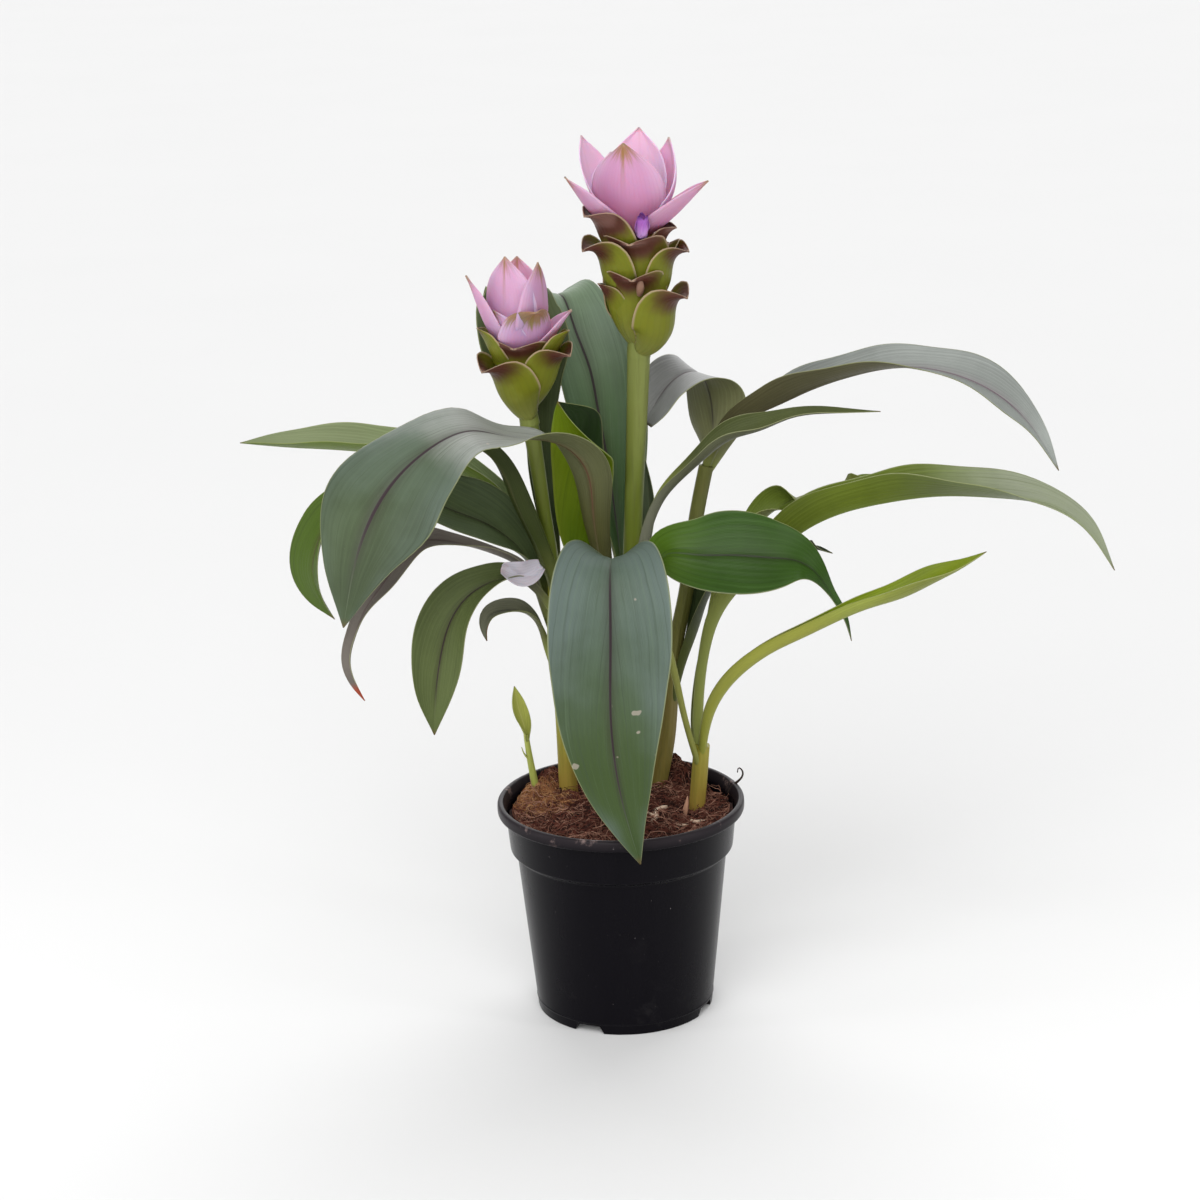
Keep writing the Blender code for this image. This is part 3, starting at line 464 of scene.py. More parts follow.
def leaf_side(name, flesh, rib, rib_width=0.035, rib_from=0.12, veins=9.0, petiole=(0.22, 0.25, 0.06),
              blade_from=0.3, tip=(0.12, 0.08, 0.03), tip_from=0.985, fresh=None, fresh_from=0.6, bloom_and_sheen=0.0,
              sheen_band=None, foot=None, gloss=0.42, shine=0.14, scars=0.0, slope=VEIN_SLOPE):
    """The finish of one face of a leaf, on its blade map.

    Places along the leaf run from 0 at its stem to 1 at its tip. The colour foot lies near the stem and
    fresh takes over towards the tip. The pale band is painted sheen: its middle, its half width and its
    strength. The grey-blue haze is partly a film of wax and partly painted sheen.
    """
    finish = Finish(name, Specular_IOR_Level=shine)
    across, along = finish.blade_map()
    side = abs(across * 2.0 - 1.0)
    cloud = finish.grain(16.0, 4.0, 0.55)
    patch = finish.grain(7.0, 3.0)
    run = (along - side * slope + cloud * 0.16) * veins
    crest = run.wave()
    fine = (run * 5.0 + cloud * 2.0).wave()
    with_veins = finish.node("ShaderNodeCombineXYZ", {}, {0: run * 2.6, 1: side * 2.0, 2: along * 1.5})
    streak = finish.grain(1.0, 5.0, 0.72, with_veins)
    blade = finish.step(along, blade_from - 0.10, blade_from + 0.06)
    colour = finish.mix(finish.step(cloud, 0.30, 0.72), toned(flesh, 0.78), toned(flesh, 1.18))
    if fresh:
        fresh_end = finish.step(along + patch * 0.4, fresh_from + 0.1, fresh_from + 0.4)
        colour = finish.mix(fresh_end, colour, fresh)
    if foot:
        colour = finish.mix(finish.step(along + patch * 0.15, 0.72, 0.42), colour, foot)
    if bloom_and_sheen:
        # A grey-blue haze: partly the leaf's wax bloom, partly painted sheen.
        bloom_sheen_haze = finish.step(patch * 0.9 + cloud * 0.4 + side * 0.18 - along * 0.25, 0.40, 0.74)
        colour = finish.mix(bloom_sheen_haze * bloom_and_sheen * blade, colour, BLOOM_AND_SHEEN)
    # A pale band of painted sheen, where a leaf's crest would catch the light.
    if sheen_band:
        near = finish.step(abs(along + cloud * 0.2 - (sheen_band[0] + 0.1)), sheen_band[1], sheen_band[1] * 0.3)
        colour = finish.mix(near * sheen_band[2], colour, SHEEN_PAINT)
    light_vein = (crest**12.0) * finish.step(patch, 0.35, 0.7) * 0.30 * blade
    colour = finish.mix(light_vein, colour, toned(flesh, 1.4, 0.02))
    # Painted shade in the furrow between two veins.
    furrow_shade = (1.0 - crest) * finish.step(patch, 0.7, 0.3) * 0.10 * blade
    colour = finish.mix(furrow_shade, colour, toned(flesh, 0.5))
    colour = finish.mix(fine * 0.15, colour, toned(flesh, 0.5))
    colour = finish.mix(finish.step(streak, 0.50, 0.30) * 0.55 * blade, colour, toned(flesh, 0.55))
    colour = finish.mix(finish.step(streak, 0.54, 0.72) * 0.30 * blade, colour, toned(flesh, 1.5, 0.01))
    stalk = finish.mix(fine * 0.4, petiole, toned(petiole, 0.75))
    colour = finish.mix(blade, stalk, colour)
    on_rib = finish.step(side + cloud * 0.01, rib_width * 1.35, rib_width * 0.6)
    beside = finish.step(side, rib_width * 7.0, 0.0) * 0.30
    rib_start = finish.step(along, blade_from + rib_from - 0.08, blade_from + rib_from + 0.08)
    ripe = rib_start * finish.step(along, 0.98, 0.82)
    colour = finish.mix(on_rib * blade * 0.35, colour, toned(flesh, 1.6, 0.05))
    colour = finish.mix((on_rib * 0.92).at_least(beside) * ripe, colour, rib)
    colour = finish.mix(finish.step(side, 0.976, 0.992) * 0.55, colour, MARGIN)
    colour = finish.mix(finish.step(along + cloud * 0.03, tip_from + 0.01, tip_from + 0.035), colour, tip)
    if scars:
        spots = finish.step(finish.grain(115.0, 1.0), 0.82 - scars * 0.05, 0.85 - scars * 0.05)
        colour = finish.mix(spots * 0.45, colour, SCAR)
    finish.set("Base Color", colour)
    finish.set("Roughness", cloud * 0.16 + (gloss - 0.06))
    finish.bump(crest * 0.35 + fine * 0.12 + patch * 0.8 - on_rib * 0.7, 0.5, 0.35)
    return finish


PURPLE = (0.030, 0.013, 0.022)
print("leaf finish ready")
# %% [markdown]
# ## Leaves
# Each leaf has its own midrib, as given points, and the keys of its section: half its width laid
# flat, the compass direction that it leans to, its roll about the midrib, how far its edges curl up, and
# the V at its midrib. The upper and lower faces have their own colours, as on the plant.

# %% Leaves
# Compass keys are plain numbers, so from 355 to 0 a leaf turns the long way round, nearly once about
# itself. leaf_right_short and leaf_right_dark do that near their tips. 360 or -5 would be the short way.
LEAVES = {
    "leaf_front": dict(
        width=(7, 6, 5, 4, 3, 20, 32, 37, 38, 35, 31, 25, 18, 9, 0),
        lobe=(0.31, 11),
        route=((7, 25, 215), (5, 17, 240), (3, 1, 265), (0, -20, 284), (-2, -36, 294), (-3, -50, 292),
               (-4, -68, 254), (-5, -78, 209), (-1, -85, 169), (10, -88, 124)),
        facing=(268,), roll=(0,), cup=(150, 140, 80, 18, 20, 20, 20, 25), fold=(0, 0, 12, 8, 6)),
    "leaf_left_large": dict(
        width=(7, 7, 9, 12, 15, 20, 25, 34, 39, 21, 0),
        route=((2, 25, 225), (-8, 4, 278), (-12, -5, 315), (-15, -10, 340), (-24, -16, 354),
               (-39, -22, 362), (-56, -28, 365), (-81, -42, 373), (-104, -55, 366), (-126, -68, 348),
               (-142, -80, 321), (-154, -92, 273)),
        facing=(255, 250, 240, 200, 190, 195, 205), roll=(0, 0, -10, -12, 0, 22, 36, 44, 42),
        cup=(150, 90, 40, 10, -12, -14, -10), fold=(0, 5, 4, 0)),
    "leaf_left_pale": dict(
        width=(6, 6, 9, 13, 16, 17, 16, 11, 0),
        route=((-36, 32, 224), (-45, 45, 252), (-63, 54, 294), (-80, 60, 312), (-101, 66, 324),
               (-126, 70, 332), (-148, 72, 335), (-169, 73, 337), (-197, 74, 339), (-227, 74, 342)),
        facing=(145, 160, 175, 180), roll=(0, 0, 12, 24, 18), cup=(150, 70, 30, 20),
        fold=(0, 25, 40, 40, 35)),
    "leaf_left_strap": dict(
        width=(7, 7, 8, 9, 9, 9, 9, 10, 19, 22, 0),
        route=((-35, 29, 237), (-40, 14, 271), (-49, 10, 296), (-58, 10, 318), (-66, 10, 338),
               (-78, 10, 350), (-95, 10, 354), (-118, 10, 352), (-139, 10, 342), (-158, 10, 325),
               (-173, 9, 303), (-180, 7, 276), (-168, 4, 249)),
        facing=(250, 240, 215, 190, 180), roll=(0, 0, 0, 0, 5, 20, 30), cup=(130, 80, 50, 40, 25, 15),
        fold=(0, 8, 5)),
    "leaf_left_dark": dict(
        width=(5, 5, 7, 14, 21, 23, 20, 12, 0),
        route=((-36, 31, 221), (-46, 31, 258), (-53, 28, 278), (-67, 25, 294), (-80, 22, 303),
               (-93, 20, 309), (-109, 18, 316), (-127, 15, 317), (-142, 12, 311)),
        facing=(175, 180, 185), roll=(0, 20, 35, 40, 40), cup=(130, 60, 25, 15), fold=(0, 12, 8)),
    "leaf_left_twisted": dict(
        width=(5, 5, 5, 6, 6, 6, 9, 9, 6, 6, 0),
        route=((-35, 30, 210), (-46, 19, 251), (-54, 5, 276), (-65, -5, 287), (-82, -9, 295),
               (-99, -14, 301), (-114, -19, 302), (-125, -24, 294), (-134, -29, 282), (-145, -32, 268),
               (-153, -35, 251), (-157, -36, 233), (-149, -37, 211)),
        facing=(200, 190, 190, 205, 215), roll=(0, 10, 15, -8, 30, 55, 20, 0, 20), cup=(150, 60, 40, 30),
        fold=(0, 10)),
    "leaf_left_hanging": dict(
        width=(5, 5, 5, 7, 12, 17, 18, 12, 0),
        route=((-36, 31, 206), (-38, 11, 243), (-48, -3, 265), (-62, -13, 277), (-76, -21, 276),
               (-87, -26, 270), (-97, -31, 257), (-103, -34, 239), (-107, -36, 216), (-109, -38, 189)),
        facing=(240, 225, 210, 215, 225), roll=(0, 0, 15, 28, 36, 34), cup=(150, 60, 30, 20),
        fold=(0, 12, 8)),
    "leaf_left_small": dict(
        width=(4, 4, 5, 5, 7, 6, 0),
        route=((-35, 31, 191), (-44, 26, 221), (-49, 17, 241), (-59, 7, 251), (-69, 0, 253),
               (-76, -6, 251), (-78, -9, 245), (-77, -12, 238)),
        facing=(210, 205, 205), roll=(0, 10, 25, 35), cup=(150, 60, 40), fold=(0, 12)),
    "leaf_behind_short_stalk": dict(
        width=(6, 6, 8, 9, 10, 11, 19, 28, 24, 10, 0),
        route=((-35, 29, 234), (-36, 40, 256), (-40, 47, 295), (-43, 49, 326), (-44, 50, 357),
               (-48, 52, 384), (-52, 55, 408), (-55, 60, 421), (-56, 67, 427), (-72, 79, 411),
               (-77, 84, 396)),
        facing=(100, 96, 94), roll=(0, -2, -3), cup=(150, 60, 20, 8), fold=(0, 12, 5)),
    "leaf_boat": dict(
        width=(5, 5, 6, 12, 27, 34, 38, 33, 0),
        route=((-3, 26, 207), (-10, 28, 237), (-20, 29, 262), (-30, 28, 285), (-34, 26, 308),
               (-35, 23, 331), (-35, 14, 355), (-31, 1, 379)),
        facing=(185, 190, 188), roll=(0, 0, 0, 0, 2), cup=(130, 60, 15, 10), fold=(0, 45, 66, 56, 44)),
    "leaf_behind_tall_stalk": dict(
        width=(6, 7, 14, 22, 28, 31, 30, 24, 15, 8, 0),
        route=((6, 25, 225), (4, 44, 267), (0, 58, 307), (-4, 66, 337), (-8, 71, 361), (-12, 74, 383),
               (-19, 82, 402), (-24, 94, 416), (-29, 105, 423), (-35, 113, 420), (-43, 128, 409),
               (-49, 139, 389), (-53, 145, 366)),
        facing=(110, 112, 115), roll=(0, 0, -5), cup=(150, 60, 30, 15), fold=(0, 12, 6)),
    "leaf_narrow_back": dict(
        width=(4, 4, 5, 5, 0),
        route=((9, 25, 225), (18, 36, 272), (22, 38, 299), (21, 40, 321), (19, 42, 337)),
        facing=(50, 60), roll=(0,), cup=(150, 60, 30), fold=(0, 10)),
    "leaf_right_thin": dict(
        width=(6, 6, 7, 7, 7, 8, 11, 11, 6, 3, 0),
        route=((10, 25, 218), (17, 13, 266), (22, 8, 297), (31, 7, 318), (44, 7, 332), (56, 6, 343),
               (69, 4, 353), (86, 1, 359), (105, -3, 367), (128, -7, 370), (156, -12, 371)),
        facing=(300, 330, 345, 350), roll=(0, -10, -20, -22, -20), cup=(150, 110, 90, 50, 30),
        fold=(0, 15)),
    "leaf_right_folded": dict(
        width=(5, 11, 19, 21, 21, 20, 20, 18, 9),
        route=((57, 51, 322), (61, 56, 337), (62, 60, 353), (60, 61, 370), (54, 56, 382), (45, 49, 384),
               (35, 45, 378), (27, 42, 368), (19, 40, 357)),
        facing=(255, 250, 240, 215, 192, 186), roll=(0, 0, 5, 10, 24, 38), cup=(120, 30, 12, 12),
        fold=(0, 6)),
    "leaf_right_arching": dict(
        width=(6, 9, 14, 16, 15, 14, 14, 16, 14, 7, 0),
        route=((59, 49, 325), (66, 42, 341), (79, 34, 357), (97, 28, 367), (118, 21, 378), (141, 14, 387),
               (169, 7, 393), (198, 0, 390), (226, -5, 377), (246, -9, 357), (260, -12, 333)),
        facing=(335, 338, 342, 345), roll=(0, 10, 2, -14, -22, -26, -28, -30),
        cup=(140, 60, 40, 28, 18, 15), fold=(0, 30, 35, 20, 10, 8)),
    "leaf_right_channelled": dict(
        width=(7, 8, 8, 11, 15, 17, 18, 19, 18, 14, 8, 0),
        route=((51, 4, 157), (51, 8, 181), (52, 8, 197), (56, 7, 224), (65, 5, 249), (76, 3, 264),
               (93, 0, 282), (111, -3, 298), (132, -6, 309), (159, -9, 316), (191, -12, 320),
               (225, -16, 319), (254, -19, 314), (275, -21, 300), (292, -24, 275)),
        facing=(350,), roll=(0, 0, 0, 4, 0, -10, -20, -20), cup=(150, 150, 90, 40, 30, 25, 20, 20),
        fold=(0, 0, 25, 64, 58, 34, 20, 10)),
    "leaf_right_short": dict(
        width=(5, 5, 6, 6, 8, 9, 11, 14, 9, 0),
        route=((49, 9, 155), (48, 17, 174), (51, 22, 196), (59, 23, 232), (68, 21, 265), (80, 19, 289),
               (92, 21, 302), (110, 20, 312), (130, 19, 317), (159, 18, 326)),
        facing=(20, 5, 0, 355), roll=(0, -5, -22), cup=(150, 120, 60, 35, 30), fold=(0, 10, 30, 30)),
    "leaf_right_rolled": dict(
        width=(5, 7, 9, 10, 10, 10, 10, 11, 13, 10, 0),
        route=((51, 2, 153), (54, -7, 177), (58, -13, 192), (65, -19, 206), (76, -26, 220),
               (91, -33, 233), (108, -41, 244), (126, -48, 255), (146, -53, 265), (166, -58, 273),
               (182, -61, 282), (196, -63, 290), (211, -65, 300)),
        facing=(325, 332, 340, 345), roll=(0, 0, -5, -12), cup=(150, 150, 140, 125, 80, 30), fold=(0,)),
    "leaf_front_right": dict(
        width=(4, 4, 4, 4, 4, 4, 4, 6, 13, 20, 25, 25, 20, 9, 4, 3, 0),
        route=((47, 2, 148), (41, -7, 173), (37, -12, 193), (33, -15, 217), (26, -19, 252),
               (23, -23, 281), (30, -28, 293), (45, -33, 294), (69, -37, 294), (92, -38, 292),
               (107, -37, 289), (116, -35, 282), (124, -31, 270), (132, -28, 255), (138, -24, 236)),
        facing=(200, 240, 290, 335, 345, 348, 350), roll=(0, 0, 0, -30, -55, -58, -50, -25, -15),
        cup=(150, 140, 100, 50, 20, 15, 20, 30), fold=(0, 5, 6)),
    "leaf_right_dark": dict(
        width=(5, 5, 6, 8, 12, 18, 20, 8, 0),
        route=((31, 43, 152), (36, 41, 180), (43, 41, 206), (50, 42, 225), (55, 44, 241), (62, 46, 257),
               (74, 48, 270), (92, 48, 275), (113, 47, 275), (133, 46, 270)),
        facing=(330, 345, 355, 0), roll=(0, -5, -15, -22), cup=(150, 130, 80, 40, 25), fold=(0, 15)),
}
TIP_HALF = 0.25
BLADE_THICKNESS = 0.42
GROOVE = 0.7  # depth of the groove over the midrib
WAVE_LENGTH = 55
WAVE_HEIGHT = 0.9
LEAF_STEP = 2.0  # length of one row of a leaf
LEAF_COLUMNS = 36



def faces(top, under, **both):
    """The looks of the two faces of a leaf, with what both share."""
    return {**both, **top}, {**both, **under}


LOOKS = {
    # leaf_front's darker green towards the tip is partly its own colour and partly painted shade where it
    # turns down.
    "leaf_front": faces(
        dict(flesh=(0.076, 0.114, 0.066), rib=PURPLE, rib_width=0.030, rib_from=0.06,
             fresh=(0.044, 0.074, 0.018), fresh_from=0.56, bloom_and_sheen=0.75, scars=1.2, veins=9.0, shine=0.2),
        dict(flesh=(0.06, 0.08, 0.03), rib=(0.12, 0.13, 0.05)),
        blade_from=0.33, petiole=(0.10, 0.13, 0.03)),
    # leaf_left_large carries a band of painted sheen on its arch.
    "leaf_left_large": faces(
        dict(flesh=(0.064, 0.092, 0.042), rib=PURPLE, rib_width=0.040, blade_from=0.4, rib_from=0.08,
             bloom_and_sheen=0.5, sheen_band=(0.54, 0.17, 0.75), scars=0.7, veins=10.0, shine=0.22, slope=0.85),
        dict(flesh=(0.062, 0.062, 0.016), rib=(0.09, 0.035, 0.02), blade_from=0.12,
             fresh=(0.13, 0.14, 0.07), fresh_from=0.30, petiole=(0.085, 0.095, 0.02))),
    # leaf_left_pale's pale top is partly its own colour and partly painted light that shines through the
    # leaf.
    "leaf_left_pale": faces(
        dict(flesh=(0.21, 0.27, 0.12), rib=(0.27, 0.32, 0.14), fresh=(0.23, 0.27, 0.14), fresh_from=0.55),
        dict(flesh=(0.12, 0.18, 0.02), rib=(0.18, 0.22, 0.06)),
        blade_from=0.2),
    "leaf_left_strap": faces(
        dict(flesh=(0.030, 0.044, 0.010), rib=(0.06, 0.05, 0.02), fresh=(0.060, 0.105, 0.010)),
        dict(flesh=(0.040, 0.054, 0.012), rib=(0.08, 0.08, 0.03), fresh=(0.060, 0.100, 0.010)),
        blade_from=0.15, fresh_from=0.55),
    "leaf_left_dark": faces(
        dict(flesh=(0.085, 0.120, 0.036), rib=(0.035, 0.04, 0.018), bloom_and_sheen=0.2),
        dict(flesh=(0.05, 0.068, 0.024), rib=(0.07, 0.08, 0.03)),
        blade_from=0.25),
    "leaf_left_twisted": faces(
        dict(flesh=(0.160, 0.140, 0.120), rib=(0.08, 0.05, 0.05)),
        dict(flesh=(0.170, 0.150, 0.125), rib=(0.11, 0.07, 0.05)),
        blade_from=0.2, tip=(0.30, 0.06, 0.03), tip_from=0.95),
    "leaf_left_hanging": faces(
        dict(flesh=(0.082, 0.106, 0.034), rib=PURPLE, rib_from=0.16, scars=0.5, veins=8.0),
        dict(flesh=(0.09, 0.09, 0.05), rib=(0.09, 0.07, 0.04)),
        blade_from=0.32),
    # leaf_left_small's pale top is partly its own colour and partly painted light on a face turned from the
    # lamps.
    "leaf_left_small": faces(
        dict(flesh=(0.20, 0.205, 0.14), rib=(0.09, 0.09, 0.07), veins=6.0),
        dict(flesh=(0.11, 0.12, 0.03), rib=(0.10, 0.08, 0.05), tip=(0.20, 0.10, 0.04), tip_from=0.90),
        blade_from=0.35),
    "leaf_behind_short_stalk": faces(
        dict(flesh=(0.066, 0.088, 0.026), rib=(0.04, 0.04, 0.03), bloom_and_sheen=0.2),
        dict(flesh=(0.07, 0.09, 0.03), rib=(0.10, 0.11, 0.04)),
        blade_from=0.2),
    "leaf_boat": faces(
        dict(flesh=(0.014, 0.036, 0.004), rib=(0.03, 0.05, 0.012), shine=0.15),
        dict(flesh=(0.085, 0.145, 0.002), rib=(0.15, 0.19, 0.015), fresh=(0.13, 0.19, 0.004),
             fresh_from=0.5, shine=0.1),
        blade_from=0.2),
    "leaf_behind_tall_stalk": faces(
        dict(flesh=(0.175, 0.250, 0.150), foot=(0.045, 0.110, 0.012), rib=PURPLE, rib_width=0.038,
             rib_from=0.02, bloom_and_sheen=0.4, shine=0.2, veins=10.0),
        dict(flesh=(0.06, 0.09, 0.02), rib=(0.09, 0.08, 0.04)),
        blade_from=0.16),
    "leaf_narrow_back": faces(
        dict(flesh=(0.10, 0.13, 0.07)),
        dict(flesh=(0.10, 0.13, 0.08)),
        rib=(0.09, 0.10, 0.05), blade_from=0.3),
    "leaf_right_thin": faces(
        dict(flesh=(0.066, 0.080, 0.024), rib=(0.04, 0.035, 0.02), blade_from=0.5),
        dict(flesh=(0.085, 0.090, 0.05), rib=(0.05, 0.04, 0.03), blade_from=0.45,
             petiole=(0.14, 0.145, 0.10))),
    # leaf_right_folded's grey top is partly the leaf's wax and partly painted sheen.
    "leaf_right_folded": faces(
        dict(flesh=(0.25, 0.255, 0.25), rib=(0.10, 0.085, 0.09), shine=0.3),
        dict(flesh=(0.17, 0.175, 0.080), rib=(0.05, 0.045, 0.03)),
        blade_from=0.1),
    # leaf_right_arching's grey top is partly the leaf's wax and partly painted sheen.
    "leaf_right_arching": faces(
        dict(flesh=(0.255, 0.275, 0.255), rib=(0.13, 0.09, 0.11), blade_from=0.1, rib_width=0.05,
             shine=0.3),
        dict(flesh=(0.068, 0.062, 0.026), rib=(0.05, 0.04, 0.02), blade_from=0.05,
             fresh=(0.09, 0.085, 0.045), fresh_from=0.3)),
    # leaf_right_channelled carries a band of painted sheen on its far half.
    "leaf_right_channelled": faces(
        dict(flesh=(0.110, 0.150, 0.012), rib=(0.15, 0.19, 0.05), sheen_band=(0.88, 0.26, 0.45), shine=0.25),
        dict(flesh=(0.085, 0.115, 0.008), rib=(0.13, 0.17, 0.04), fresh=(0.20, 0.23, 0.15),
             fresh_from=0.68),
        blade_from=0.34),
    "leaf_right_short": faces(
        dict(flesh=(0.12, 0.165, 0.02), rib=(0.16, 0.20, 0.05), shine=0.2),
        dict(flesh=(0.135, 0.155, 0.03), rib=(0.16, 0.18, 0.05)),
        blade_from=0.45),
    "leaf_right_rolled": faces(
        dict(flesh=(0.19, 0.25, 0.012), rib=(0.20, 0.24, 0.04), blade_from=0.5),
        dict(flesh=(0.22, 0.25, 0.045), rib=(0.24, 0.26, 0.08), blade_from=0.6,
             petiole=(0.27, 0.28, 0.045)),
        shine=0.2),
    "leaf_front_right": faces(
        dict(flesh=(0.030, 0.074, 0.008), foot=(0.130, 0.230, 0.012), rib=(0.016, 0.02, 0.008), scars=0.5,
             gloss=0.32, shine=0.16, veins=6.0),
        dict(flesh=(0.17, 0.17, 0.15), rib=(0.12, 0.10, 0.08), petiole=(0.24, 0.25, 0.06)),
        blade_from=0.42),
    "leaf_right_dark": faces(
        dict(flesh=(0.030, 0.048, 0.012), rib=(0.03, 0.03, 0.014)),
        dict(flesh=(0.06, 0.07, 0.04), rib=(0.05, 0.05, 0.03)),
        blade_from=0.4, petiole=(0.07, 0.085, 0.02)),
}


def add_leaf(name, leaf, look, index):
    """One leaf, from inside its stem to its tip."""
    curve = spline(leaf["route"])
    long = length_of(curve)
    lobe_start, lobe = leaf.get("lobe", (0, 0))
    waves = long / WAVE_LENGTH
    turn = 1.7 * index

    @functools.lru_cache(maxsize=None)
    def row(share):
        half = max(keyed(leaf["width"], share), 0) + TIP_HALF
        facing, roll, cup, fold = (keyed(leaf[key], share) for key in ("facing", "roll", "cup", "fold"))
        return half, cup, fold, frame_at(curve, share, facing, roll)

    def place(side_share, share):
        share = round(share, 6)
        half, cup, fold, (point, along, side, up) = row(share)
        inside = max(0.0, (share - lobe_start) / (1 - lobe_start))
        back = lobe * side_share**2 * min(1.0, 8 * inside) * (1 - inside) ** 3
        across, rise = section(side_share, half, cup, fold)
        open_blade = min(1.0, max(0.0, (120 - abs(cup)) / 60)) * min(1.0, half / 12)
        swing = share * waves * math.tau + turn + (0.9 if side_share > 0 else 0)
        rise += WAVE_HEIGHT * open_blade * side_share**2 * math.sin(swing)
        rise -= GROOVE * open_blade * math.exp(-((side_share * half / 1.4) ** 2))
        return point + side * across + up * rise - along * back

    shape = bmesh.new()
    rows = int(long / LEAF_STEP)
    add_sheet(shape, rows, LEAF_COLUMNS, place)
    top_look, under_look = look
    top = leaf_side(name + "_top", **top_look)
    under = leaf_side(name + "_under", **under_look)
    return add_piece(name + "_blade", shape, [top, under], "leaf_green", [name], BLADE_THICKNESS)


for index, (name, leaf) in enumerate(LEAVES.items()):
    made = add_leaf(name, leaf, LOOKS[name], index)
    print(name, len(made.data.polygons), "faces")

# %% [markdown]
# ## Shoots and stalks
# A shoot is no woody stem but a tight roll of leaf sheaths. So its surface has a few long ridges and the
# edge of an outer sheath that winds round it. The flower stalks are plain round stems, paler and finely
# streaked.

# %% Shoots and stalks
STEMS = {
    "pseudostem_left": (
        ((-31, 36, 98), (-32, 35, 118), (-33, 34, 158), (-34, 32, 198), (-35, 30, 237), (-36, 28, 262)),
        (5.8, 5.6, 5.6, 6.2, 5.1),
    ),
    "pseudostem_centre": (
        ((1, 25, 98), (2, 25, 121), (4, 25, 160), (6, 25, 199), (8, 25, 237), (9, 25, 256)),
        (8.4, 8.0, 8.2, 8.6, 7.4),
    ),
    "pseudostem_centre_right": (
        ((18, 41, 98), (23, 42, 122), (30, 43, 157), (35, 45, 208), (43, 47, 246), (50, 49, 292),
         (57, 50, 326)),
        (5.7, 5.4, 5.0, 4.6, 4.5, 4.5),
    ),
    "pseudostem_right": (
        ((45, 4, 98), (46, 4, 118), (48, 4, 141), (50, 3, 164)),
        (5.0, 4.9, 5.0, 5.0),
    ),
}
STALKS = {
    "flower_stalk_tall": (
        ((9, 25, 250), (11, 24, 288), (13, 22, 325), (15, 20, 362), (17, 18, 403)),
        (5.4, 5.7, 6.8),
    ),
    "flower_stalk_short": (
        ((-36, 28, 256), (-38, 27, 279), (-41, 24, 303), (-44, 21, 330), (-48, 18, 364)),
        (4.0, 4.1, 5.0),
    ),
}


def stem_finish(name, low, high, turn_low, turn_high, flush):
    """Long streaks along a stem, from one colour low down to another higher up."""
    finish = Finish(name, Specular_IOR_Level=0.25)
    _, _, height = finish.axes(finish.place())
    streak = finish.grain(1.0, 3.0, 0.6, finish.place((520, 520, 14)))
    cloud = finish.grain(40.0)
    rise = finish.step(height + cloud * 0.02, turn_low * MM, turn_high * MM)
    colour = finish.mix(rise, low, high)
    colour = finish.mix(finish.step(streak, 0.45, 0.75) * 0.45, colour, toned(high, 0.62))
    colour = finish.mix(finish.step(cloud, 0.55, 0.8) * flush, colour, (0.20, 0.09, 0.045))
    finish.set("Base Color", colour)
    finish.set("Roughness", 0.36 + streak * 0.2)
    finish.bump(streak, 0.35, 0.35)
    return finish


def sheath(index):
    """Ridges along a shoot, and the edge of an outer sheath that winds up it."""

    def swell(share, angle):
        ridge = 0.16 * math.cos(5 * angle + index) + 0.10 * math.cos(11 * angle + 2 * index)
        edge = (angle / math.tau + 0.35 * share + 0.3 * index) % 1.0
        return ridge + 0.55 * max(0.0, 1 - edge * 3.2) * (1 - share) - 0.1

    return swell


shoot_finish = stem_finish("shoot", (0.31, 0.20, 0.040), (0.27, 0.270, 0.032), 118, 200, 0.35)
stalk_finish = stem_finish("stalk", (0.115, 0.150, 0.012), (0.165, 0.190, 0.045), 290, 400, 0.08)
olive_finish = stem_finish("shoot_olive", (0.17, 0.135, 0.030), (0.120, 0.125, 0.030), 150, 270, 0.15)
for index, (name, (points, radii)) in enumerate(STEMS.items()):
    finish = olive_finish if name == "pseudostem_centre_right" else shoot_finish
    tube_piece(name + "_sheaths", points, radii, finish, "stem_yellow_green", [name],
               sides=40, rings=70, swell=sheath(index))
for name, (points, radii) in STALKS.items():
    tube_piece(name + "_round", points, radii, stalk_finish, "stem_yellow_green", [name],
               sides=32, rings=60, swell=lambda share, angle: 0.08 * math.cos(7 * angle))
print(len(STEMS), "shoots and", len(STALKS), "stalks")

# %% [markdown]
# ## Young sprout
# The sprout at the left is a thin stem with one small blade and a scale at its side, all fresh and light.

# %% Young sprout
SPROUT_STEM = (((-51, 32, 112), (-52, 32, 125), (-55, 31, 147), (-57, 30, 164)), (2.6, 2.2, 1.6))
SPROUT_BLADE = ((-56.6, 30, 160), (-58, 30, 169), (-61, 29, 181), (-63, 28, 196))
SPROUT_BLADE_WIDTH = (2, 5, 5.5, 4, 0)
SPROUT_SCALE = ((-55, 31, 146), (-58, 30, 150), (-60, 29.5, 156))

sprout_curve = spline(SPROUT_BLADE)
scale_curve = spline(SPROUT_SCALE)


def place_sprout_blade(side_share, share):
    half = max(keyed(SPROUT_BLADE_WIDTH, share), 0) + TIP_HALF
    return blade_point(sprout_curve, share, side_share, half, 160, 40, keyed((150, 60, 30), share))


def place_sprout_scale(side_share, share):
    half = 2.0 * (1 - share) + TIP_HALF
    return blade_point(scale_curve, share, side_share, half, 190, 0, 60)


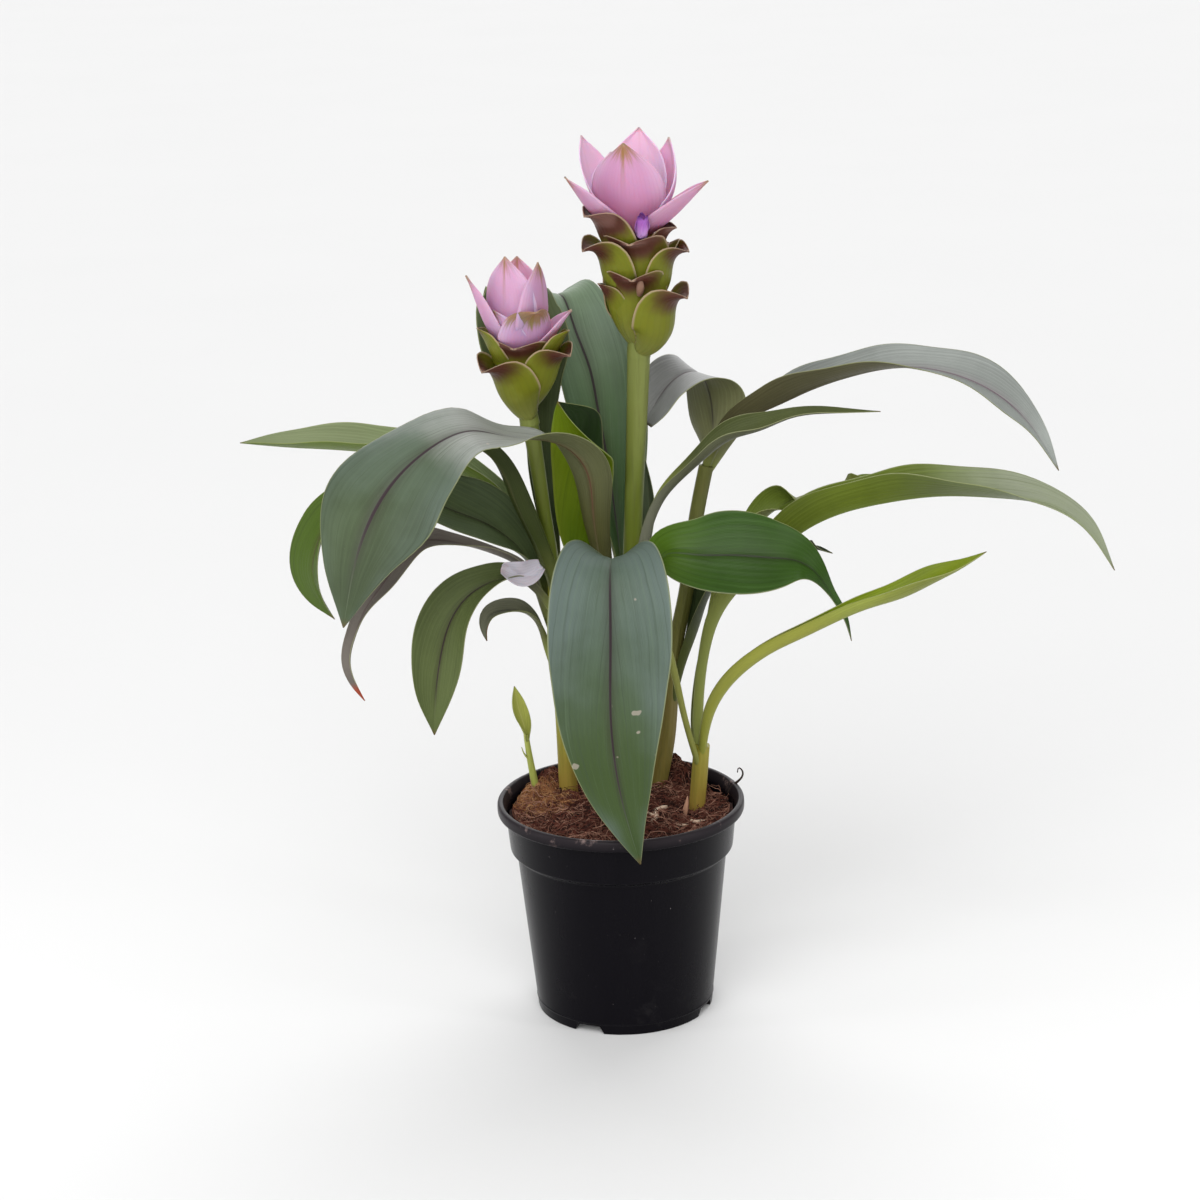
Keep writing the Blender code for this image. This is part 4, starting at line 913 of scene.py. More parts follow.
sprout_green = leaf_side("sprout_green", (0.44, 0.47, 0.10), (0.46, 0.46, 0.14), veins=5.0, blade_from=0.1,
                         petiole=(0.2, 0.22, 0.05))
sprout_finish = stem_finish("sprout_stem", (0.30, 0.34, 0.07), (0.36, 0.40, 0.09), 120, 160, 0.05)
tube_piece("sprout_stem", *SPROUT_STEM, sprout_finish, "stem_yellow_green", ["sprout"], sides=20, rings=40)
shape = bmesh.new()
add_sheet(shape, 40, 16, place_sprout_blade)
add_sheet(shape, 14, 8, place_sprout_scale)
add_piece("sprout_blade", shape, [sprout_green, sprout_green], "stem_yellow_green", (), 0.5)
print("sprout reaches", SPROUT_BLADE[-1][2], "mm")

# %% [markdown]
# ## Bract finishes
# A flower head is built of bracts. The lower ones are green pouches whose curled rims turn purple-brown with
# a thin pale edge. The upper ones are pink, deeper at the foot and pale at the edge, with fine veins, and
# some have a brown-green tip. An attribute called brown says how strong that tip is on each bract. A pink
# bract with little of it is paler all over, partly its own pale pink and partly painted light on the back
# bracts, which lie in the shade of the front ones.


# %% Bract finishes
def brown_of(finish):
    return finish.node("ShaderNodeAttribute", {"attribute_name": "brown"}, {}, "Fac")


def green_bract(name):
    """A waxy green pouch with a brown rim."""
    finish = Finish(name, Specular_IOR_Level=0.2, Subsurface_Weight=0.08, Subsurface_Scale=0.003)
    across, along = finish.blade_map()
    side = abs(across * 2.0 - 1.0)
    cloud = finish.grain(60.0, 4.0)
    vein = (across * 13.0 + finish.grain(30.0) * 0.4).wave()
    brown = brown_of(finish)
    rim = along + cloud * 0.22 - side * side * 0.16 + (brown - 1.0) * 0.28
    colour = finish.mix(finish.step(along, 0.05, 0.6), (0.19, 0.20, 0.045), (0.145, 0.155, 0.008))
    colour = finish.mix(finish.step(cloud, 0.5, 0.75) * 0.35, colour, (0.28, 0.30, 0.06))
    colour = finish.mix((vein**6.0) * 0.16, colour, (0.09, 0.11, 0.01))
    on_rim = finish.step(rim, 0.72, 0.95) * finish.step(brown, 0.0, 0.6)
    colour = finish.mix(on_rim, colour, (0.075, 0.024, 0.014))
    colour = finish.mix(finish.step(rim, 0.98, 1.10) * 0.5, colour, (0.24, 0.13, 0.11))
    edge = finish.step(side, 0.93, 0.99).at_least(finish.step(along, 0.975, 0.995))
    colour = finish.mix(edge * 0.7, colour, (0.42, 0.30, 0.21))
    finish.set("Base Color", colour)
    finish.set("Roughness", 0.38 + cloud * 0.2)
    finish.bump(vein * 0.5 + cloud * 0.6, 0.35, 0.4)
    return finish


def pink_bract(name):
    """A soft pink bract with fine veins."""
    finish = Finish(name, Specular_IOR_Level=0.15, Subsurface_Weight=0.35, Subsurface_Scale=0.005)
    across, along = finish.blade_map()
    side = abs(across * 2.0 - 1.0)
    cloud = finish.grain(45.0, 4.0)
    vein = (across * 21.0 + finish.grain(25.0) * 0.35).wave()
    stretched = finish.node("ShaderNodeCombineXYZ", {}, {0: across * 26.0, 1: along * 2.0})
    streak = finish.grain(1.0, 4.0, 0.7, stretched)
    colour = finish.mix(finish.step(along, 0.12, 0.85), (0.46, 0.175, 0.32), (0.48, 0.275, 0.44))
    colour = finish.mix(finish.step(side, 0.45, 1.0) * 0.45, colour, (0.66, 0.47, 0.62))
    colour = finish.mix((vein**4.0) * 0.22, colour, (0.46, 0.22, 0.36))
    brown = brown_of(finish)
    # Paler where the tip is faint: partly the bract's own pale pink, partly painted light on back bracts in
    # shade.
    colour = finish.mix(finish.step(brown, 0.78, 0.35) * 0.7, colour, (0.86, 0.62, 0.82))
    midline = finish.step(side, 0.10, 0.02) * finish.step(along, 0.45, 0.9)
    reach = along + cloud * 0.12 + (1.0 - side) * 0.05 + brown * 0.12 + (streak - 0.5) * 0.5
    tip = finish.step(reach, 1.02, 1.18)
    stain = finish.mix(streak, (0.13, 0.075, 0.020), (0.34, 0.24, 0.10))
    stained = (midline * 0.45 + tip * 0.9).at_least(0.0) * finish.step(brown, 0.0, 0.8)
    colour = finish.mix(stained, colour, stain)
    colour = finish.mix(finish.step(along, 0.94, 1.0) * 0.5, colour, (0.42, 0.30, 0.20))
    finish.set("Base Color", colour)
    finish.set("Roughness", 0.5 + cloud * 0.15)
    finish.bump(vein * 0.6 + cloud * 0.3, 0.3, 0.3)
    return finish


green_finish = green_bract("pouch_green")
pink_finish = pink_bract("petal_pink")

# %% [markdown]
# ## Flower heads
# Each bract starts inside the head's core, leans out, stands up and curls over at its rim. Its lean and its
# cup are keys along it, so one function makes them all. The bracts of one colour are one piece.

# %% Flower heads
TALL_AXIS = ((17, 18, 401), (18, 17.5, 440), (15, 16.5, 476), (14, 16, 505))
TALL_GREEN = (
    (330, 401, 52, 25, (76, 36, 6, 96), (110, 82, 52), 1.0),
    (262, 408, 52, 22, (58, 22, 4, 84), (110, 78, 50), 1.0),
    (200, 407, 45, 14, (48, 28, 16, 40), (110, 75, 50), 0.9),
    (100, 405, 50, 22, (62, 30, 12, 90), (110, 76, 46), 1.0),
    (202, 430, 52, 22, (66, 36, 12, 106), (110, 74, 46), 1.0),
    (345, 428, 48, 21, (64, 34, 10, 92), (110, 74, 46), 1.0),
    (50, 428, 47, 21, (60, 30, 14, 90), (110, 74, 44), 1.0),
    (258, 436, 45, 23, (68, 28, 5, 84), (105, 70, 44), 1.2),
    (126, 446, 45, 21, (58, 30, 16, 86), (108, 70, 42), 1.2),
    (208, 453, 47, 22, (62, 40, 20, 84), (96, 60, 38), 1.7),
    (348, 451, 34, 16, (60, 36, 20, 66), (96, 62, 38), 1.4),
)
TALL_PINK = (
    (250, 470, 61, 24.5, (44, 18, -2, -8), (70, 48, 34), 1.0),
    (346, 470, 54, 21, (66, 52, 44, 44), (78, 48, 28), 0.9),
    (194, 470, 54, 19, (64, 48, 34, 34), (85, 52, 30), 0.8),
    (150, 472, 66, 18, (56, 34, 18, 8), (76, 46, 28), 0.2),
    (70, 473, 63, 20, (44, 14, 0, -2), (76, 46, 30), 0.2),
    (20, 473, 63, 22, (60, 34, 4, -16), (76, 46, 30), 0.4),
    (112, 470, 56, 21, (58, 34, 22, 20), (85, 50, 28), 0.2),
)
SHORT_AXIS = ((-48, 18, 362), (-52, 17, 392), (-54, 16, 414), (-54, 16, 436))
SHORT_GREEN = (
    (216, 364, 47, 25, (54, 35, 20, 98), (112, 84, 52), 1.0),
    (326, 371, 47, 20, (50, 34, 20, 92), (112, 80, 50), 1.0),
    (96, 367, 44, 19, (48, 30, 16, 88), (112, 80, 48), 1.0),
    (258, 381, 38, 22, (54, 30, 12, 72), (106, 74, 48), 1.0),
    (40, 380, 40, 18, (56, 28, 14, 82), (108, 72, 44), 0.9),
    (190, 389, 40, 15, (58, 38, 22, 34), (84, 56, 40), 0.45),
    (346, 388, 41, 15, (64, 42, 28, 38), (80, 54, 40), 0.35),
)
SHORT_PINK = (
    (194, 400, 60, 14, (47, 30, 18, 21), (74, 50, 34), 0.7),
    (238, 402, 64, 19, (36, 12, -2, -6), (72, 48, 34), 0.65),
    (88, 402, 60, 19, (34, 8, -2, -4), (72, 48, 34), 0.6),
    (335, 402, 61, 20, (46, 18, -2, -12), (70, 48, 34), 0.8),
    (296, 401, 41, 19, (66, 32, 8, 78), (70, 52, 38), 2.4),
    (226, 402, 36, 16, (56, 30, 16, 18), (66, 48, 32), 0.65),
    (4, 400, 41, 15, (64, 46, 34, 40), (76, 50, 32), 0.7),
)
FOOT_INSET = 3.5
BRACT_STEPS = 60
BRACT_ROWS = 40
BRACT_COLUMNS = 24
BRACT_THICKNESS = 0.55
# How wide a bract is along its length, as shares of its half width: pouches are blunt and petals pointed.
POUCH_OUTLINE = (0.5, 0.66, 0.8, 0.92, 1.0, 1.04, 1.03, 0.96, 0.76, 0)
PETAL_OUTLINE = (0.44, 0.78, 1.0, 0.98, 0.7, 0)


def axis_point(axis, height):
    """The point of a head's axis at a height."""
    heights = [point[2] for point in axis]
    return Vector([float(np.interp(height, heights, [point[i] for point in axis])) for i in range(3)])


def add_bract(shape, bract, axis, outline, index):
    """One bract, from inside the head's core to its tip."""
    compass, height, length, half_width, lean, cup, brown = bract
    outward = Vector((math.cos(math.radians(compass)), math.sin(math.radians(compass)), 0))
    route = [axis_point(axis, height) + outward * FOOT_INSET]
    for step in range(BRACT_STEPS):
        angle = math.radians(keyed(lean, (step + 0.5) / BRACT_STEPS))
        heading = outward * math.sin(angle) + Vector((0, 0, 1)) * math.cos(angle)
        route.append(route[-1] + heading * length / BRACT_STEPS)
    curve = np.array(route)

    def place(side_share, share):
        half = half_width * max(keyed(outline, share), 0) + TIP_HALF
        ripple = 0.5 * share**2 * math.sin(7 * side_share + 2.1 * index) * abs(side_share)
        return blade_point(curve, share, side_share, half, compass, 0, keyed(cup, share), 0, ripple)

    add_sheet(shape, BRACT_ROWS, BRACT_COLUMNS, place, brown)


def add_head(node, bracts, axis, ends, radii, outline, finish, slot):
    """All the bracts of one colour of a head, round their core."""
    shape = bmesh.new()
    for index, bract in enumerate(bracts):
        add_bract(shape, bract, axis, outline, index)
    made = add_piece(node + "_fine", shape, [finish], slot, [node], BRACT_THICKNESS, sharp=80)
    low, high = ends
    core_axis = [axis_point(axis, height) for height in (low, (low + high) / 2, high)]
    tube_piece(node + "_fine_core", core_axis, radii, stalk_finish, slot, sides=24, rings=16)
    return made


# The bracts of each colour, the heights of their core's ends and its radii from low to high.
HEADS = {
    "tall_head": (TALL_AXIS, (TALL_GREEN, (401, 466), (7, 6, 5)), (TALL_PINK, (466, 490), (5, 5, 2))),
    "short_head": (SHORT_AXIS, (SHORT_GREEN, (362, 397), (6, 5, 4)), (SHORT_PINK, (397, 418), (4, 4, 2))),
}
for head, (axis, green, pink) in HEADS.items():
    pouches = add_head(head + "_green_bracts", green[0], axis, *green[1:], POUCH_OUTLINE, green_finish,
                       "bract_green")
    petals = add_head(head + "_pink_bracts", pink[0], axis, *pink[1:], PETAL_OUTLINE, pink_finish,
                      "bract_pink")
    print(pouches.name, len(green[0]), "bracts,", petals.name, len(pink[0]), "bracts")

# %% [markdown]
# ## True flower, bud and fallen petal
# The small violet flower is the real flower of the plant. It looks out between two bracts, and a bud sits
# in the axil of a lower one. A faded petal has dropped onto the left leaves.

# %% True flower, bud and fallen petal
TRUE_FLOWER_FOOT = Vector((20, -1, 475))
TRUE_FLOWER_LEAN = Vector((0.05, -0.42, 0.9)).normalized()
FALLEN_PETAL = ((-43.8, -11, 283.5), (-54.8, -18, 280.5), (-66.8, -23, 285.5))
BUD = ((18, -1, 441), (18.5, -3.5, 446), (18.5, -4, 452))


def soft_petal(name, foot, top, tip):
    """A thin petal that shades from its foot to its tip."""
    finish = Finish(name, 0.55, Specular_IOR_Level=0.3, Subsurface_Weight=0.1, Subsurface_Scale=0.003)
    across, along = finish.blade_map()
    vein = (across * 9.0 + finish.grain(40.0) * 0.3).wave()
    colour = finish.mix(finish.step(along, 0.1, 0.75), foot, top)
    colour = finish.mix(vein**3.0 * 0.25, colour, toned(top, 0.7))
    colour = finish.mix(finish.step(along + finish.grain(90.0) * 0.2, 0.85, 1.1), colour, tip)
    finish.set("Base Color", colour)
    finish.bump(vein, 0.3, 0.25)
    return finish


violet = soft_petal("flower_violet", (0.55, 0.30, 0.62), (0.33, 0.10, 0.42), (0.09, 0.02, 0.16))
lilac = soft_petal("faded_lilac", (0.50, 0.47, 0.53), (0.52, 0.49, 0.55), (0.45, 0.40, 0.44))
bud_finish = stem_finish("bud", (0.40, 0.30, 0.16), (0.22, 0.12, 0.08), 443, 452, 0.3)

flower_curve = spline((TRUE_FLOWER_FOOT, TRUE_FLOWER_FOOT + TRUE_FLOWER_LEAN * 5,
                       TRUE_FLOWER_FOOT + TRUE_FLOWER_LEAN * 12 + Vector((0, 0, 2))))


def place_flower_petal(turn, side_share, share):
    half = 5.4 * math.sin(math.pi * (0.15 + 0.8 * share)) + TIP_HALF
    return blade_point(flower_curve, share, side_share, half, 285, turn, 70, 0, -3)


shape = bmesh.new()
for turn in (-60, 60, 180):
    add_sheet(shape, 16, 12, functools.partial(place_flower_petal, turn))
add_piece("true_flower_petals", shape, [violet], "flower_violet", ["true_flower"], 0.4)

petal_curve = spline(FALLEN_PETAL)


def place_fallen_petal(side_share, share):
    half = 8.5 * math.sin(math.pi * (0.12 + 0.76 * share)) ** 0.8 + TIP_HALF
    roll = keyed((60, 75, 65), share)
    crease = -1.2 * math.exp(-(((side_share - 1.4 * (share - 0.55)) / 0.16) ** 2))
    return blade_point(petal_curve, share, side_share, half, 200, roll, 25, 20, crease)


shape = bmesh.new()
add_sheet(shape, 30, 24, place_fallen_petal)
add_piece("fallen_petal_soft", shape, [lilac], "petal_pale_lilac", ["fallen_petal"], 0.4)
tube_piece("axil_bud", BUD, (1.6, 2.2, 2.3, 1.6, 0.4), bud_finish, "bract_green", sides=14, rings=16)
print("flower, petal and bud made")

# %% [markdown]
# ## Pot
# The pot is one thin black moulding. Its section is drawn once, corners rounded, and turned about the
# upright axis. Notches in the foot ring and drain holes in the floor are cut with a Boolean. The plastic is
# glossy with faint flow lines, dust specks, and pale dried soil water on the lip.

# %% Pot
POT_HEIGHT = 133.0
LIP_RADIUS = 75.0
LIP_DEPTH = 7.0
COLLAR_RADIUS = 70.0
STEP_DEPTH = 31.0
BODY_RADIUS = 64.0
FOOT_RADIUS = 53.8
FOOT_HEIGHT = 4.0
FLOOR_THICKNESS = 2.0
PAD_RADIUS = 12.0
WALL = 1.6
FOOT_LINE = 6.5  # height of the fine raised line above the foot
NOTCHES = 4
NOTCH_FIRST = math.radians(-115)
NOTCH_WIDTH = 20.0
NOTCH_HEIGHT = 5.0
NOTCH_DEPTH = 14.0
NOTCH_NARROWING = 0.72  # of its width, at its top
DRAIN_RING = 38.0
DRAIN_RADIUS = 4.0
DRAINS = 8
POT_STEPS = 144


def pot_section():
    """Radius, height and rounding of each corner, from the underside round to the middle of the floor."""
    step = POT_HEIGHT - STEP_DEPTH
    lip = POT_HEIGHT - LIP_DEPTH
    floor_top = FOOT_HEIGHT + FLOOR_THICKNESS
    slope = (BODY_RADIUS - FOOT_RADIUS) / (step - 1)
    return (
        (0, 0, 0), (PAD_RADIUS, 0, 0.5), (PAD_RADIUS + 3, FOOT_HEIGHT, 0.8),
        (FOOT_RADIUS - 4.3, FOOT_HEIGHT, 0.8), (FOOT_RADIUS - 2.8, 0, 0.4), (FOOT_RADIUS, 0, 0.6),
        (FOOT_RADIUS + slope * (FOOT_LINE - 0.6), FOOT_LINE - 0.6, 0.1),
        (FOOT_RADIUS + slope * FOOT_LINE + 0.3, FOOT_LINE, 0.1),
        (FOOT_RADIUS + slope * (FOOT_LINE + 0.8), FOOT_LINE + 0.8, 0.2),
        (BODY_RADIUS, step - 1, 1.6), (COLLAR_RADIUS - 2.2, step + 1, 1.2), (COLLAR_RADIUS, lip, 0.8),
        (LIP_RADIUS - 0.5, lip, 0.7), (LIP_RADIUS, lip + 1.2, 0.8), (LIP_RADIUS, POT_HEIGHT - 1.2, 1.6),
        (LIP_RADIUS - 1.4, POT_HEIGHT, 1.2), (LIP_RADIUS - 3.4, POT_HEIGHT - 0.2, 0.8),
        (COLLAR_RADIUS - 0.6, lip + 1, 0.8), (COLLAR_RADIUS - 2.2 - WALL, step + 1 + WALL, 0.6),
        (BODY_RADIUS - WALL, step - 1, 0.6), (FOOT_RADIUS - WALL, floor_top, 0.6), (0, floor_top, 0),
    )


def rounded(corners, steps=3):
    """The corners with each sharp turn replaced by a short curve."""
    path = []
    for index, (radius, height, ease) in enumerate(corners):
        corner = Vector((radius, 0, height))
        if not ease:
            path.append(corner)
            continue
        before = Vector((corners[index - 1][0], 0, corners[index - 1][1]))
        after = Vector((corners[index + 1][0], 0, corners[index + 1][1]))
        start = corner + (before - corner).normalized() * min(ease, (before - corner).length * 0.45)
        end = corner + (after - corner).normalized() * min(ease, (after - corner).length * 0.45)
        for step in range(steps + 1):
            share = step / steps
            path.append(start * (1 - share) ** 2 + corner * 2 * share * (1 - share) + end * share**2)
    return path


def pot_finish():
    """Black moulded plastic with flow lines, dust and a dirty lip."""
    finish = Finish("black_plastic", Specular_IOR_Level=0.07)
    point = finish.place()
    _, _, height = finish.axes(point)
    flow = finish.grain(1.0, 4.0, 0.6, finish.place((60, 60, 7)))
    dust = finish.step(finish.grain(420.0, 2.0, 0.7), 0.74, 0.80)
    smear = finish.step(finish.grain(26.0, 5.0, 0.65), 0.56, 0.80)
    lip = finish.step(height, 0.124, 0.1325)
    dirt = finish.step(finish.grain(70.0, 5.0, 0.7), 0.58, 0.74) * lip
    low = finish.step(height, 0.035, 0.004)
    colour = finish.mix(flow, (0.0024, 0.002, 0.0034), (0.0040, 0.0034, 0.0052))
    colour = finish.mix(smear * (low * 0.10 + 0.018), colour, (0.16, 0.15, 0.15))
    colour = finish.mix(dust * 0.6, colour, (0.34, 0.31, 0.31))
    colour = finish.mix(lip * 0.14, colour, (0.13, 0.105, 0.115))
    colour = finish.mix(dirt * 0.7, colour, (0.38, 0.27, 0.25))
    finish.set("Base Color", colour)
    finish.set("Roughness", 0.20 + flow * 0.12 + smear * 0.12 + lip * 0.08)
    finish.bump(flow * 0.6 + finish.grain(300.0) * 0.1, 0.25, 0.4)
    return finish


shape = bmesh.new()
points = [shape.verts.new(point) for point in rounded(pot_section())]
edges = [shape.edges.new(pair) for pair in zip(points, points[1:])]
bmesh.ops.spin(shape, geom=points + edges, cent=(0, 0, 0), axis=(0, 0, 1), angle=math.tau,
               steps=POT_STEPS, use_merge=True)
bmesh.ops.remove_doubles(shape, verts=shape.verts, dist=0.01)
bmesh.ops.recalc_face_normals(shape, faces=shape.faces)
pot = add_piece("pot_moulding", shape, [pot_finish()], "black_pot_plastic", ["pot"], sharp=35)

cutter_shape = bmesh.new()
for index in range(NOTCHES):
    notch = bmesh.ops.create_cube(cutter_shape, size=1)["verts"]
    for vert in notch:
        upper = vert.co.z > 0
        width = NOTCH_WIDTH * (NOTCH_NARROWING if upper else 1)
        x = FOOT_RADIUS + vert.co.x * NOTCH_DEPTH
        vert.co = Vector((x, vert.co.y * width, NOTCH_HEIGHT if upper else -1))
    turn = Matrix.Rotation(NOTCH_FIRST + index * math.tau / NOTCHES, 4, "Z")
    bmesh.ops.transform(cutter_shape, matrix=turn, verts=notch)
for index in range(DRAINS):
    turn = Matrix.Rotation(NOTCH_FIRST + index * math.tau / DRAINS, 4, "Z")
    bmesh.ops.create_cone(cutter_shape, cap_ends=True, segments=24, radius1=DRAIN_RADIUS,
                          radius2=DRAIN_RADIUS, depth=8,
                          matrix=turn @ Matrix.Translation((DRAIN_RING, 0, FOOT_HEIGHT + 1)))
bmesh.ops.scale(cutter_shape, vec=(MM, MM, MM), verts=cutter_shape.verts)
cutter = mesh_object("pot_cutter", cutter_shape)
cut = pot.modifiers.new("Notches", "BOOLEAN")
cut.operation = "DIFFERENCE"
cut.object = cutter
bpy.context.view_layer.update()
finished = bpy.data.meshes.new_from_object(pot.evaluated_get(bpy.context.evaluated_depsgraph_get()))
pot.modifiers.clear()
pot.data = finished
bpy.data.objects.remove(cutter)
print("pot", len(pot.data.polygons), "faces")

# %% [markdown]
# ## Coir
# The pot is filled with coconut fibre. Its body is a heaped disc with a rough surface, and thousands of
# thin curled strands lie over it. Each strand is a copy of one short three-sided tube, bent along its own
# random path, and a seed keeps them the same each time.

# %% Coir
SOIL_LEVEL = 121.0
# Each heap's place to the east and north of the middle, its rise and its spread.
HEAPS = (
    (38.0, 57.0, 15.0, 12.0),
    (-42.0, 52.0, 10.0, 10.0),
    (-50.0, 30.0, 5.0, 11.0),
    (0.0, 10.0, 3.0, 30.0),
)
SOIL_RADIUS = 68.0
EDGE_RISE = 5.0  # the coir climbs a little at the front wall of the pot
SOIL_SIDES = 120
SOIL_RINGS = 46


def soil_height(x, y):
    """The height of the coir's surface: a level with low heaps."""
    height = SOIL_LEVEL
    for east, north, rise, spread in HEAPS:
        height += rise * math.exp(-((x - east) ** 2 + (y - north) ** 2) / (2 * spread**2))
    front = min(1.0, max(0.0, (30 - y) / 40))
    return height + front * EDGE_RISE * (max(0.0, math.hypot(x, y) - 52) / (SOIL_RADIUS - 52)) ** 2


def rough_height(x, y):
    """The same with clumps and pits."""
    clumps = noise.noise(Vector((x, y, 0)) * 0.11) * 3.4 + noise.noise(Vector((x, y, 9)) * 0.33) * 2.0
    return soil_height(x, y) + clumps - 0.5


def coir_finish(name, dark, middle, light):
    """Matt fibre, from dark to light as the brown attribute rises from 0 to 1."""
    finish = Finish(name, Specular_IOR_Level=0.2)
    tone = brown_of(finish)
    cloud = finish.grain(260.0, 3.0, 0.7)
    colour = finish.mix(finish.step(tone, 0.0, 0.55), dark, middle)
    colour = finish.mix(finish.step(tone, 0.55, 1.0), colour, light)
    colour = finish.mix(cloud * 0.5, colour, toned(dark, 0.5))
    finish.set("Base Color", colour)
    finish.set("Roughness", 0.8 + cloud * 0.15)
    finish.bump(cloud, 0.6, 0.8)
    return finish


coir_bed_finish = coir_finish(
    "coir_bed", (0.014, 0.004, 0.003), (0.040, 0.012, 0.008), (0.08, 0.028, 0.017))
shape = bmesh.new()
tone = shape.verts.layers.float.new("brown")
loops = []
side = ((FOOT_RADIUS - 2.1, 6.3), (BODY_RADIUS - 2.1, 101), (COLLAR_RADIUS - 4.3, 105.6), (SOIL_RADIUS, None))
rings = [(SOIL_RADIUS * (1 - ring / SOIL_RINGS) ** 0.9, None) for ring in range(1, SOIL_RINGS)]
for radius, height in side + tuple(rings):
    made = bmesh.ops.create_circle(shape, segments=SOIL_SIDES, radius=radius)["verts"]
    for vert in made:
        vert.co.z = rough_height(vert.co.x, vert.co.y) if height is None else height
        vert[tone] = 0.5 + noise.noise(vert.co * 0.08) * 0.5
    loops.append(edges_of(made))
close_skin(shape, loops)
add_piece("coir_bed", shape, [coir_bed_finish], "red_brown_coir", ["soil"])
print("coir bed", SOIL_SIDES, "by", SOIL_RINGS)

# %% [markdown]
# The strands come in five lots. Short crumbs, middling curls and long hairs that arch over the surface lie
# anywhere. Finer and lighter ones make the orange mound at the sprout, and one more lot covers the heaps.

# %% Strands
STRAND_RINGS = 9
STRAND_REACH = 66.0  # keeps every strand inside the wall of the pot


def strand_template():
    """A three-sided tube of unit radius, from height 0 to 1."""
    shape = bmesh.new()
    bmesh.ops.create_cone(shape, segments=3, radius1=1, radius2=1, depth=1, cap_ends=True,
                          matrix=Matrix.Translation((0, 0, 0.5)))
    upright_edges = [edge for edge in shape.edges if abs(edge.verts[0].co.z - edge.verts[1].co.z) > 0.5]
    bmesh.ops.subdivide_edges(shape, edges=upright_edges, cuts=STRAND_RINGS - 1)
    mesh = bpy.data.meshes.new("strand")
    shape.to_mesh(mesh)
    shape.free()
    return mesh


def random_path(dice, spot, long, curl, lift):
    """A strand's path over the coir: it wanders, and its middle may arch up."""
    heading = dice.uniform(0, math.tau)
    turn = dice.uniform(-curl, curl)
    arch = dice.uniform(0, lift)
    sink = dice.uniform(-0.8, 0.6)
    x, y = spot
    path = []
    for step in range(STRAND_RINGS + 1):
        share = step / STRAND_RINGS
        reach = math.hypot(x, y)
        if reach > STRAND_REACH:
            heading += 1.2
            x, y = x * STRAND_REACH / reach, y * STRAND_REACH / reach
        path.append(Vector((x, y, rough_height(x, y) + sink + arch * math.sin(math.pi * share) + 0.3)))
        heading += turn / STRAND_RINGS + dice.uniform(-0.35, 0.35)
        x += math.cos(heading) * long / STRAND_RINGS
        y += math.sin(heading) * long / STRAND_RINGS
    return path


def add_strands(name, count, seed, spots, long, thick, curl, lift, tones, finish):
    """Many strands as one piece."""
    dice = random.Random(seed)
    template = strand_template()
    each = len(template.vertices)
    shape = bmesh.new()
    tone = shape.verts.layers.float.new("brown")
    for _ in range(count):
        shape.from_mesh(template)
    shape.verts.ensure_lookup_table()
    for strand in range(count):
        path = random_path(dice, spots(dice), dice.uniform(*long), curl, lift)
        radius = dice.uniform(*thick)
        shade = dice.uniform(*tones)
        ahead = (path[-1] - path[0]).normalized()
        across = ahead.cross(Vector((0, 0, 1))).normalized()
        for vert in shape.verts[strand * each : (strand + 1) * each]:
            share = min(max(vert.co.z, 0.0), 1.0)
            step = min(int(share * STRAND_RINGS + 1e-4), STRAND_RINGS)
            taper = radius * (1 - 0.7 * abs(2 * share - 1) ** 3)
            vert.co = path[step] + across * vert.co.x * taper + Vector((0, 0, 1)) * vert.co.y * taper
            vert[tone] = shade
    bpy.data.meshes.remove(template)
    return add_piece(name, shape, [finish], "red_brown_coir")


def anywhere(dice):
    """A spot on the coir."""
    radius = SOIL_RADIUS * 0.985 * math.sqrt(dice.random())
    angle = dice.uniform(0, math.tau)
    return radius * math.cos(angle), radius * math.sin(angle)


def by_the_sprout(dice):
    return dice.gauss(-50, 8), dice.gauss(22, 9)


def on_the_heaps(dice):
    east, north, _, spread = HEAPS[dice.randrange(2)]
    return dice.gauss(east, spread * 0.7), dice.gauss(north, spread * 0.6)


strand_finish = coir_finish(
    "coir_strands", (0.022, 0.007, 0.005), (0.150, 0.046, 0.030), (0.55, 0.30, 0.21))
orange_finish = coir_finish(
    "coir_orange", (0.15, 0.055, 0.022), (0.42, 0.18, 0.075), (0.62, 0.36, 0.17))
# Each lot's count, seed, spots, lengths, radii, curl, lift, range of tones and finish.
STRANDS = {
    "coir_crumbs": (1500, 11, anywhere, (3, 8), (0.3, 0.9), 2.5, 1.5, (0.0, 0.6), strand_finish),
    "coir_curls": (1700, 12, anywhere, (9, 24), (0.16, 0.36), 9.0, 4.0, (0.0, 0.95), strand_finish),
    "coir_hairs": (420, 13, anywhere, (20, 46), (0.12, 0.24), 11.0, 7.0, (0.45, 1.0), strand_finish),
    "coir_orange_mound": (900, 14, by_the_sprout, (7, 20), (0.12, 0.26), 8.0, 4.0, (0.1, 1.0), orange_finish),
    "coir_heaps": (700, 15, on_the_heaps, (6, 18), (0.18, 0.5), 7.0, 4.0, (0.0, 0.8), strand_finish),
}
for name, lot in STRANDS.items():
    add_strands(name, *lot)
    print(name, lot[0], "strands")

